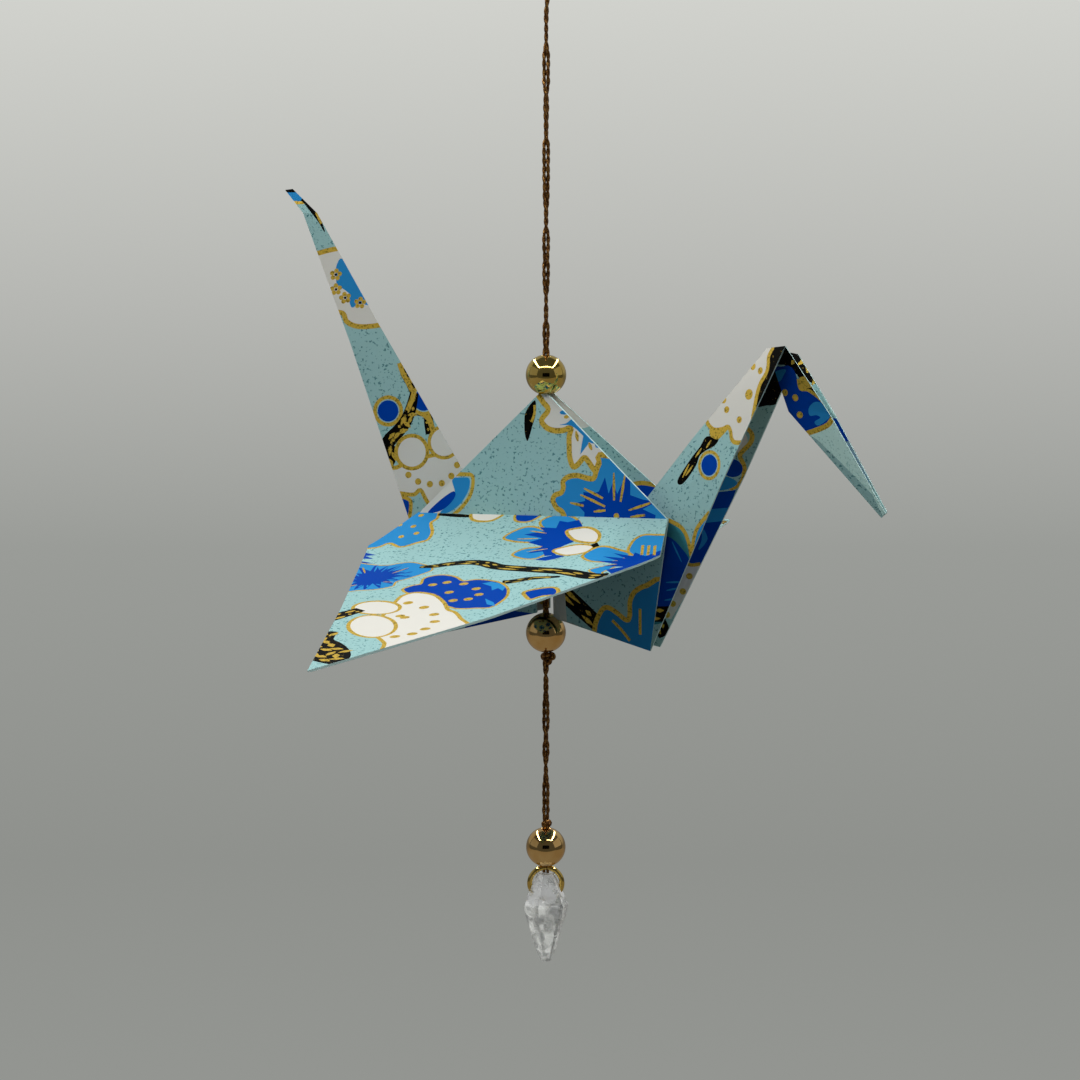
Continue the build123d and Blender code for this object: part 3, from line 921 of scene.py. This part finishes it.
def head_print():
    """The right side of the head: deep blue blossom, black above it, and a beak of aqua painted lighter,
    as painted light.
    """
    draw = []
    # The beak's aqua is painted lighter than the ground: painted highlight.
    facet(draw, "painted_light_aqua", [
        (39, -4.4), (42.9, -2), (47, -3), (54, -12), (52, -17.5), (49.8, -14.6), (48.5, -12),
        (46.1, -9.9), (43.8, -7.9), (40.6, -5.2),
    ])
    facet(draw, "bark", [
        (32, 9), (32, 4.5), (36, 4.8), (38, 3.6), (39.5, 1.4), (41.5, 0.6), (46, 4), (44, 9),
    ])
    field(draw, "deep", [
        (32.5, 4), (35.4, 4.5), (36.8, 4.7), (37.7, 3.9), (38, 2.6), (38.2, 1.5), (39.5, 1.6),
        (41, 0.7), (42.1, -0.4), (43, -1.6), (42.5, -2.6), (41, -3.5), (39.2, -4.3), (37.4, -4.4),
        (34.6, -3), (32, 0),
    ])
    field(draw, "sky", [
        (39.4, -0.9), (40.4, 0), (41.8, -0.2), (42.6, -1.6), (42, -2.4), (40.7, -3.2), (40.2, -2.7),
        (41.1, -2.1), (40.5, -1.8), (39.5, -1.9),
    ])
    field(draw, "sky", [(34.2, 3.6), (35.4, 4.1), (36.2, 4.1), (35.7, 3.3), (35.1, 2.5), (34.4, 2.6)])
    field(draw, "gold", [(38.3, 3.1), (39.4, 3.5), (40.8, 3.9), (40.6, 2.2), (39.6, 1.9), (38.4, 1.8)])
    gold_dabs(draw, [(37.6, 5.2), (39.2, 4.9), (41.2, 2.2)], 0.4, 8)
    gold_line(draw, [(38.1, 3), (38.3, 1.7), (39.5, 1.6), (41, 0.7), (42.1, -0.4), (43.1, -1.5)], 0.25)
    gold_line(draw, [(38.6, -4.5), (41, -3.6), (42.4, -2.8), (43.2, -1.4)], 0.36)
    gold_dots(draw, [(35.8, 1), (37.4, 0.4), (38, -1.9)], 0.48)
    return draw


def head_inside_print():
    """The inside of the head's left wall, a strip over the near wall's edge."""
    draw = [("bark", np.array([(33, 8), (46, 8), (45.5, -0.6), (41.5, 0.4), (40, 2), (37, 3)]))]
    gold_dabs(draw, [(37.4, 5), (38.2, 4.2), (39.4, 2.6), (40.2, 2), (39, 3.6)], 0.6, 3)
    # A strip of the same aqua painted lighter: painted light.
    facet(draw, "painted_light_aqua", [(40.6, 1), (46, -0.4), (46, -3), (42.8, -2.4)])
    facet(draw, "deep", [(42.4, -2.2), (46, -2.6), (46.5, -5.4), (44.2, -5.2)])
    return draw


def tail_print():
    """The right side of the tail: blue tip, white blossom, a berry on its branch."""
    draw = []
    facet(draw, "gold", [(-45, 26.2), (-36, 26.4), (-36, 25.5), (-45, 25.2)])
    facet(draw, "sky", [(-45, 31), (-36, 31), (-36, 26.2), (-39.6, 25.8), (-45, 26)])
    facet(draw, "bark", [(-45, 31), (-36, 31), (-39.6, 27.1), (-45, 27)])
    draw.append(("bark", stroke([
        (-39.6, 26.2), (-38.4, 25.2), (-36.8, 23.2), (-35.8, 21.4),
    ], (0.3, 0.4, 0.25, 0.05))))
    gold_line(draw, [(-37.3, 24.2), (-36.4, 22.6)], 0.15)
    field(draw, "white", [
        (-39, 17.9), (-36.7, 18.3), (-35.3, 18.7), (-33.9, 19), (-30, 19.6), (-23, 9.2), (-26.7, 8.2),
        (-29.2, 7.9), (-30.7, 8.1), (-31.7, 8.7), (-32.2, 9.7), (-33.4, 10), (-37, 10.5),
    ], 0.36)
    field(draw, "sky", [
        (-33.7, 16.6), (-32.9, 17.6), (-30.4, 15), (-27.6, 11), (-29.9, 11.2), (-31, 10.6),
        (-31.5, 11.7), (-31.4, 12.4), (-32.2, 13.1), (-33.4, 13.9), (-33.6, 15),
    ])
    for x, y in ((-33.7, 15.3), (-33.5, 13.2), (-32.1, 12), (-29.9, 11.3)):
        gold_star(draw, x, y)
    # Berries on their forked branch
    branch(draw, [(-21.1, -1.4), (-22, 0.2), (-22.8, 1.3), (-23.4, 2.8)], (0.5, 0.45, 0.4, 0.25))
    branch(draw, [(-20.5, -4.1), (-19.1, -4.4), (-18.7, -5.7), (-18.4, -7.2)], (0.4, 0.5, 0.6, 0.6))
    gold_line(draw, [(-21.4, -1.2), (-22.3, 0.3), (-23, 1.4), (-23.6, 2.8)], 0.34)
    gold_line(draw, [(-20.2, -4.1), (-18.8, -5), (-18, -6.8)], 0.4)
    berry(draw, -19.6, -2.4, 1.55)
    berry(draw, -24.9, -4.1, 1.55)
    branch(draw, [
        (-25.8, -10.4), (-24.5, -8.3), (-23.3, -7), (-22.2, -5.5), (-21.5, -3.6), (-21.1, -1.4),
    ], (0.8, 0.9, 0.85, 0.8, 0.7, 0.5))
    field(draw, "bark", [(-26, -9.5), (-23.9, -9), (-23.3, -10.2), (-23.8, -11.9), (-25, -13.2)])
    gold_line(draw, [(-22, -4), (-21.5, -2.6), (-21.1, -1.2)], 0.36)
    gold_dabs(draw, [
        (-24.4, -9.8), (-23.8, -10.6), (-24.2, -11.6), (-22.4, -7), (-21.2, -4.6), (-22.6, -5.4),
        (-23.4, -7.6), (-22, -6),
    ], 0.7, 12)
    # White dotted blossom
    field(draw, "white", [
        (-25, -12.4), (-23.3, -12.2), (-21.3, -11), (-18.6, -10.4), (-14.4, -9.8), (-11, -12.2),
        (-12, -17.5), (-17.2, -17.9), (-18.6, -16.8), (-19.6, -15.3), (-20.6, -16), (-22.6, -15.9),
        (-25, -15.6),
    ], 0.3)
    petals(draw, "white", [(-16.3, -8.3, 2.0)], 0.5)
    petals(draw, "white", [(-21.1, -9.9, 2.1)], 0.55)
    gold_dots(draw, [
        (-21.5, -13.2), (-20, -14.1), (-18.2, -14.4), (-16.4, -14.2), (-15, -13.1), (-14.2, -11.5),
    ], 0.48)
    field(draw, "deep", [
        (-25, -16.6), (-22.7, -16.4), (-21.6, -16.6), (-21, -17.2), (-21.2, -19.4), (-22, -22),
        (-26, -22),
    ], 0.28)
    petals(draw, "sky", [(-12, -20, 2.2), (-9.5, -23, 2.2), (-13, -24, 2)], 0.4)
    feathers(draw, "deep", -11.5, -22.5, 1.6, 3.4, 11, 41)
    return draw


def flank_print():
    """The right flaps under the wing: a branch and a blue blossom at the front corner."""
    draw = []
    branch(draw, [(2.6, -27.2), (6.2, -30.1), (9.4, -32.7)], (1.1, 1.15, 1.0))
    field(draw, "sky", [
        (8.6, -33.4), (9.6, -30.7), (10.6, -29.9), (11.9, -30.4), (13.6, -31.5), (14.1, -30.7),
        (14.2, -28.8), (15, -27.3), (16.8, -26.3), (19.5, -26), (20, -38), (9, -38),
    ], 0.36)
    gold_line(draw, [(11.4, -31.7), (12.8, -33), (14, -34.4)], 0.22)
    gold_line(draw, [(15.7, -29.7), (15.6, -33.4)], 0.22)
    facet(draw, "deep", [(-12, -31.2), (-1, -31.7), (-1, -34), (-12, -36)])
    petals(draw, "sky", [(-13, -24, 2.2), (-10, -22, 2.2), (-9.5, -26, 2)], 0.4)
    return draw


def gusset_print():
    """The panels tucked in at the front, whose print carries on from the hump's, with white at the top
    that is partly painted highlight.
    """
    draw = []
    # White at the top carries on the hump's white blossom and stands in for the lit paper edges there:
    # partly print, partly painted highlight.
    field(draw, "white", [(-1, 1), (3, -1), (6.4, -4.2), (5, -5.4), (2, -4)])
    field(draw, "deep", [
        (10, -14.4), (12.6, -13), (14.6, -12.8), (17, -13.6), (21, -17), (20, -22), (10, -21),
    ], 0.32)
    facet(draw, "white", [(-1, -24), (4, -24.5), (6, -28), (5, -36), (-1, -36)])
    return draw


def covered(points, outline):
    """Which of the points an outline winds round."""
    x, y = points[:, :1], points[:, 1:]
    x0, y0 = outline[:, 0], outline[:, 1]
    x1, y1 = np.roll(x0, -1), np.roll(y0, -1)
    left = (x1 - x0) * (y - y0) - (x - x0) * (y1 - y0)
    up = (y0 <= y) & (y1 > y) & (left > 0)
    down = (y0 > y) & (y1 <= y) & (left < 0)
    return up.sum(axis=1) != down.sum(axis=1)


def panels_of(mesh):
    """Groups of faces that lie almost flat together, each one panel of the paper."""
    groups, seen = [], set()
    for first in mesh.faces:
        if first.index in seen:
            continue
        seen.add(first.index)
        group, waiting = [], [first]
        while waiting:
            face = waiting.pop()
            group.append(face)
            for edge in face.edges:
                if len(edge.link_faces) != 2 or edge.calc_face_angle() > math.radians(20):
                    continue
                for other in edge.link_faces:
                    if other.index not in seen:
                        seen.add(other.index)
                        waiting.append(other)
        groups.append(group)
    return groups


peak_drop = 82  # millimetres from the hanging point down to the peak
edge_area = 30  # square millimetres, under which a panel is only the paper's edge


def panel_area(group):
    """The area of a panel in square millimetres."""
    return sum(face.calc_area() for face in group) / mm**2


def panel_print(group, number):
    """The print of one panel and the two axes it is drawn on, or no print for an edge."""
    if panel_area(group) < edge_area:
        return None
    normal = sum((face.normal * face.calc_area() for face in group), Vector()).normalized()
    places = np.array([v.co[:] for face in group for v in face.verts]) / mm + (0, 0, peak_drop)
    low, high = places.min(axis=0), places.max(axis=0)
    flat_on = abs(normal.z) > 0.9
    axes = (0, 1) if flat_on else (0, 2)
    near = low[1] + high[1] < 0
    outward = (normal.y < 0) == near
    if abs(normal.y) < 0.5 and not flat_on:
        return None
    if low[1] < -0.5 and high[1] > 0.5:
        return None
    if flat_on and normal.z > 0 and near:
        return axes, wing_print()
    if flat_on and normal.z > 0:
        return axes, [(ink, outline * (-1, -1) + (2, 0)) for ink, outline in wing_print()]
    # Where each panel lies, in millimetres along the crane and down from the peak
    is_hump = low[2] > -18.5 and low[0] < -15 and high[0] > 15
    is_neck = high[0] > 30 and low[0] < 20
    is_head = low[0] > 30
    is_tail = low[0] < -30
    is_flank = low[2] < -30 and normal.z < -0.05
    is_gusset = 17 < high[0] < 22 and low[0] > 0
    if near and outward and is_hump:
        return axes, hump_print()
    if near and outward and is_neck:
        return axes, neck_print()
    if near and outward and is_head:
        return axes, head_print()
    if near and outward and is_tail:
        return axes, tail_print()
    if near and outward and is_flank:
        return axes, flank_print()
    if is_gusset:
        return axes, gusset_print()
    if not near and not outward and is_neck:
        return axes, neck_inside_print()
    if not near and not outward and is_head:
        return axes, head_inside_print()
    return axes, scattered_print(low[list(axes)], high[list(axes)], 60 + number)


def cut_panel(group, axes, draw, points, faces, on_edges):
    """Cuts one panel along its print, and adds to the points and to the faces with inks."""
    corners = sorted({v.index for face in group for v in face.verts})
    local = {index: k for k, index in enumerate(corners)}
    drop = peak_drop if axes[1] == 2 else 0
    flat = [(points[i] / mm)[list(axes)] + (0, drop) for i in corners]
    loops, turned = [], []
    for face in group:
        loop = [local[v.index] for v in face.verts]
        a, b, c = (flat[k] for k in loop)
        turned.append((b[0] - a[0]) * (c[1] - a[1]) - (c[0] - a[0]) * (b[1] - a[1]) < 0)
        loops.append(loop[::-1] if turned[-1] else loop)
    low, high = np.min(flat, axis=0), np.max(flat, axis=0)
    shown = [
        (ink, line)
        for ink, line in draw
        if (line.max(axis=0) > low).all() and (line.min(axis=0) < high).all()
    ]
    cdt_points, cdt_edges = [Vector(p) for p in flat], []
    for ink, line in shown:
        first, count = len(cdt_points), len(line)
        cdt_points.extend(Vector(p) for p in line)
        cdt_edges.extend((first + k, first + (k + 1) % count) for k in range(count))
    cut = geometry.delaunay_2d_cdt(cdt_points, cdt_edges, loops, 0, 1e-5)
    spots, _, pieces, from_points, _, from_faces = cut
    spots = np.array([spot[:] for spot in spots])
    kept = [(piece, source[0]) for piece, source in zip(pieces, from_faces) if source]
    index = {}
    for spot, sources in enumerate(from_points):
        for source in sources:
            if source < len(corners):
                index[spot] = corners[source]
    # Points on the panel's outer edges are kept in a list for the panel next to it
    sides = {}
    for piece, _ in kept:
        for a, b in zip(piece, piece[1:] + piece[:1]):
            sides[(min(a, b), max(a, b))] = sides.get((min(a, b), max(a, b)), 0) + 1
    rim = {spot for side, uses in sides.items() if uses == 1 for spot in side} - set(index)
    borders = {}
    for face in group:
        for edge in face.edges:
            key = tuple(sorted(v.index for v in edge.verts))
            borders[key] = borders.get(key, 0) + 1
    borders = [key for key, uses in borders.items() if uses == 1]
    starts = np.array([flat[local[a]] for a, b in borders])
    runs = np.array([flat[local[b]] for a, b in borders]) - starts
    for spot in rim:
        share = ((spots[spot] - starts) * runs).sum(axis=1) / (runs**2).sum(axis=1)
        share = np.clip(share, 0, 1)
        gap = np.linalg.norm(starts + share[:, None] * runs - spots[spot], axis=1)
        side = int(gap.argmin())
        a, b = borders[side]
        index[spot] = len(points)
        on_edges.setdefault((a, b), []).append((share[side], len(points)))
        points.append(points[a] + share[side] * (points[b] - points[a]))
    # Every other point is lifted back on to the face it was cut from
    for piece, source in kept:
        a, b, c = loops[source]
        base = np.array([flat[b] - flat[a], flat[c] - flat[a]]).T
        for spot in piece:
            if spot not in index:
                u, v = np.linalg.solve(base, spots[spot] - flat[a])
                origin, right, left = (points[corners[k]] for k in (a, b, c))
                index[spot] = len(points)
                points.append(origin + u * (right - origin) + v * (left - origin))
    middles = np.array([spots[piece].mean(axis=0) for piece, _ in kept])
    inks = np.full(len(kept), "aqua", dtype=object)
    for ink, line in shown:
        close = ((middles > line.min(axis=0)) & (middles < line.max(axis=0))).all(axis=1)
        hit = np.flatnonzero(close)
        inks[hit[covered(middles[hit], line)]] = ink
    for (piece, source), ink in zip(kept, inks):
        loop = [index[spot] for spot in piece]
        faces.append((loop[::-1] if turned[source] else loop, ink))


def close_seams(faces, on_edges):
    """Gives every face along a fold the points that the print made on that fold."""
    fold_of = {point: edge for edge, stops in on_edges.items() for _, point in stops}
    share_of = {point: share for stops in on_edges.values() for share, point in stops}
    closed = []
    for loop, ink in faces:
        whole = []
        for a, b in zip(loop, loop[1:] + loop[:1]):
            whole.append(a)
            fold = fold_of.get(a) or fold_of.get(b) or (min(a, b), max(a, b))
            stops = on_edges.get(fold)
            known = {fold[0]: 0.0, fold[1]: 1.0}
            first = share_of[a] if fold_of.get(a) == fold else known.get(a)
            last = share_of[b] if fold_of.get(b) == fold else known.get(b)
            if not stops or first is None or last is None:
                continue
            between = [stop for stop in stops if min(first, last) < stop[0] < max(first, last)]
            whole.extend(point for _, point in sorted(between, reverse=first > last))
        closed.append((whole, ink))
    return closed


crane = copy_of("paper_crane", "folded_crane")
folded = bmesh.new()
folded.from_mesh(crane.data)
bmesh.ops.triangulate(folded, faces=folded.faces)
folded.verts.index_update()
folded.faces.index_update()
points = [np.array(v.co[:]) for v in folded.verts]
faces, on_edges = [], {}
for number, group in enumerate(panels_of(folded)):
    printed = panel_print(group, number)
    if printed:
        cut_panel(group, printed[0], printed[1], points, faces, on_edges)
    else:
        bare = "reverse" if panel_area(group) > edge_area else "edge"
        faces.extend(([v.index for v in face.verts], bare) for face in group)
folded.free()
faces = close_seams(faces, on_edges)


def ink_material(name, colour, roughness=0.6, metallic=0.0, grain=None):
    """Matt ink on washi. A grain gives the second colour, its size and how much of it shows."""
    material, tree = new_material(name)
    place = add_node(tree, "ShaderNodeTexCoord").outputs["Object"]
    tone = linear(colour)
    if grain:
        second, size, least, most = grain
        specks = noise(tree, place, size * mm, 2.0)
        tone = coloured(tree, specks, [(least, second), (most, colour)])
    fibre = noise(tree, place, 0.25 * mm, 3.0)
    relief = add_node(tree, "ShaderNodeBump", {"Height": fibre, "Strength": 0.15, "Distance": 0.05 * mm})
    surface = add_node(
        tree,
        "ShaderNodeBsdfPrincipled",
        {
            "Base Color": tone,
            "Roughness": roughness,
            "Metallic": metallic,
            "Specular IOR Level": 0.02,
            "Normal": relief.outputs["Normal"],
        },
    )
    finish_material(tree, surface)
    return material


inks = {
    "aqua": ink_material("aqua_ground_ink", "A4CFCE", grain=("5B8E92", 0.4, 0.34, 0.4)),
    "white": ink_material("white_ink", "E9E7DE"),
    "sky": ink_material("sky_blue_ink", "2E93D6", 0.5),
    # Sky blue painted darker and greener, standing for sky blue ink in shade: painted shade.
    "painted_shade_sky": ink_material("sky_ink_painted_shade", "3F8F9C", 0.5),
    "deep": ink_material("deep_blue_ink", "0044AE", 0.5),
    "gold": ink_material("gold_ink", "DDB94A", 0.42, 0.25, grain=("97802F", 0.3, 0.36, 0.46)),
    "bark": ink_material("black_ink_with_gold_flecks", "0B0A08", 0.45, grain=("8C7434", 0.4, 0.3, 0.33)),
    # Aqua painted lighter for the light that falls on the head: painted highlight, not an ink of its own.
    "painted_light_aqua": ink_material("aqua_ink_painted_lighter", "D8FFF8", grain=("B6E6DF", 0.3, 0.36, 0.42)),
    "edge": ink_material("paper_edge", "C4E2DF"),
    "reverse": ink_material("white_paper_back", "E6E4DC"),
}
sheet = bpy.data.meshes.new("folded_crane")
sheet.from_pydata([p.tolist() for p in points], [], [loop for loop, _ in faces])
ink_order = list(inks)
for ink in ink_order:
    sheet.materials.append(inks[ink])
sheet.polygons.foreach_set("material_index", [ink_order.index(ink) for _, ink in faces])
sheet.validate()
crane.data = sheet
# Slivers far thinner than the paper are closed up, so that the sheet is whole
sliver = 0.01 * mm
bpy.ops.object.mode_set(mode="EDIT")
bpy.ops.mesh.select_all(action="SELECT")
bpy.ops.mesh.remove_doubles(threshold=sliver)
bpy.ops.mesh.dissolve_degenerate(threshold=sliver)
bpy.ops.object.mode_set(mode="OBJECT")
place_piece(crane, "paper_crane")

# Studio: a small light tent. A grey sweep far behind and below, bars of light round the ceiling,
# pale side walls, and the camera level with the wings, a little above and ahead of them.
view_turn = 0.4624  # radians round from the crane's right side
view_rise = 0.1505
view_distance = 360 * mm
view_target = Vector((-0.753, -0.375, -103.43)) * mm
field_of_view = math.radians(23.98)


def studio_grey():
    """Matt grey sweep, painted lighter towards the top for the fall of the light: painted light."""
    material, tree = new_material("grey_sweep_painted_light")
    place = add_node(tree, "ShaderNodeTexCoord").outputs["Object"]
    height = add_node(tree, "ShaderNodeSeparateXYZ", {"Vector": place}).outputs["Z"]
    share = rescaled(tree, height, (-0.45, 0.05), (0.0, 1.0))
    painted_falloff = [(0.0, "979995"), (0.25, "8F918D"), (0.48, "9A9C98"), (0.68, "B6B7B3"), (0.93, "D1D2CD")]
    tone = coloured(tree, share, painted_falloff)
    painted_reflection_tone = coloured(tree, share, [(0.0, "8C877F"), (0.2, "76736E"), (0.5, "6C6C69"), (1.0, "A4A5A1")])
    painted_glow_tone = coloured(tree, share, [(0.0, "E4E5E2"), (0.5, "B4B6B2"), (1.0, "E8E9E6")])
    # The camera, the beads and the crystal each see the sweep in a tone of its own, all painted light:
    # darker for the beads' reflections, a brighter glow for the crystal.
    ray = add_node(tree, "ShaderNodeLightPath")
    surface = add_node(tree, "ShaderNodeBsdfDiffuse", {"Color": tone})
    for kind, colour, strength in (
        ("Is Glossy Ray", painted_reflection_tone, 0.9),
        ("Is Transmission Ray", painted_glow_tone, 1.0),
        ("Is Camera Ray", tone, 1.0),
    ):
        glow = add_node(tree, "ShaderNodeEmission", {"Color": colour, "Strength": strength})
        layers = {"Fac": ray.outputs[kind], "Shader": surface.outputs[0], "Shader_001": glow.outputs[0]}
        surface = add_node(tree, "ShaderNodeMixShader", layers)
    finish_material(tree, surface)
    return material


bend = 0.35
bend_angles = np.linspace(0.2, 1.57, 12)
sweep_profile = [(-1.2, -0.45), (0.35, -0.45)]
sweep_profile += [(0.35 + bend * math.sin(a), -0.1 - bend * math.cos(a)) for a in bend_angles]
sweep_profile += [(0.7, 0.9)]
sweep_mesh = bpy.data.meshes.new("sweep")
sweep_points = [(x, y, z) for x in (-1.6, 1.6) for y, z in sweep_profile]
count = len(sweep_profile)
sweep_mesh.from_pydata(sweep_points, [], [(i, i + count, i + count + 1, i + 1) for i in range(count - 1)])
sweep_mesh.materials.append(studio_grey())
sweep = bpy.data.objects.new("sweep", sweep_mesh)
bpy.context.collection.objects.link(sweep)
sweep.rotation_euler.z = view_turn
for face in sweep_mesh.polygons:
    face.use_smooth = True

world = bpy.data.worlds.new("soft_room")
bpy.context.scene.world = world
world.use_nodes = True
world.node_tree.nodes.clear()
room = add_node(world.node_tree, "ShaderNodeBackground", {"Color": linear("BFC3C2"), "Strength": 0.14})
add_node(world.node_tree, "ShaderNodeOutputWorld", {"Surface": room.outputs[0]})


def studio_place(right, toward, up):
    """A place in the studio, from its distance right of, in front of and above the crane."""
    c, s = math.cos(view_turn), math.sin(view_turn)
    return Vector((right * c + toward * s, right * s - toward * c, up - 0.1))


def soft_light(name, place, target, size, power):
    """A flat light, long across the view, turned to face a point."""
    lamp = bpy.data.lights.new(name, "AREA")
    lamp.shape = "RECTANGLE"
    lamp.size, lamp.size_y = size
    lamp.energy = power
    light = bpy.data.objects.new(name, lamp)
    light.location = studio_place(*place)
    light.rotation_euler = (studio_place(*target) - light.location).to_track_quat("-Z", "Y").to_euler()
    light.visible_camera = False
    bpy.context.collection.objects.link(light)


soft_light("front_bar", (0, 0.27, 0.36), (0, 0, 0), (0.56, 0.035), 0.5)
soft_light("left_bar", (-0.3, -0.2, 0.36), (0, -0.2, 0), (0.92, 0.035), 2.05)
soft_light("right_bar", (0.3, -0.2, 0.36), (0, -0.2, 0), (0.92, 0.035), 1.75)
soft_light("left_wall", (-0.62, 0.1, 0.2), (0, 0, 0), (0.7, 0.4), 0.16)
soft_light("right_wall", (0.62, 0.1, 0.2), (0, 0, 0), (0.7, 0.4), 0.25)

# A dark camera body behind the view, for the polished beads to mirror
dark, dark_tree = new_material("matt_black_camera_body")
finish_material(dark_tree, add_node(dark_tree, "ShaderNodeBsdfDiffuse", {"Color": linear("0C0C0C")}))
bpy.ops.object.select_all(action="DESELECT")
bpy.ops.mesh.primitive_cube_add(size=1.0, location=studio_place(0, 0.42, 0.05))
body = bpy.context.active_object
body.name = "camera_body"
body.dimensions = (0.3, 0.02, 0.16)
body.rotation_euler.z = view_turn
body.data.materials.append(dark)
body.visible_camera = False

camera_data = bpy.data.cameras.new("photo_view")
camera_data.sensor_width = 36.0
camera_data.lens = 18.0 / math.tan(field_of_view / 2)
camera = bpy.data.objects.new("photo_view", camera_data)
away = Vector(
    (
        math.sin(view_turn) * math.cos(view_rise),
        -math.cos(view_turn) * math.cos(view_rise),
        math.sin(view_rise),
    )
)
camera.location = view_target + view_distance * away
camera.rotation_euler = (-away).to_track_quat("-Z", "Y").to_euler()
camera_data.clip_start = 0.01
bpy.context.collection.objects.link(camera)
bpy.context.scene.camera = camera
bpy.context.scene.view_settings.view_transform = "Standard"
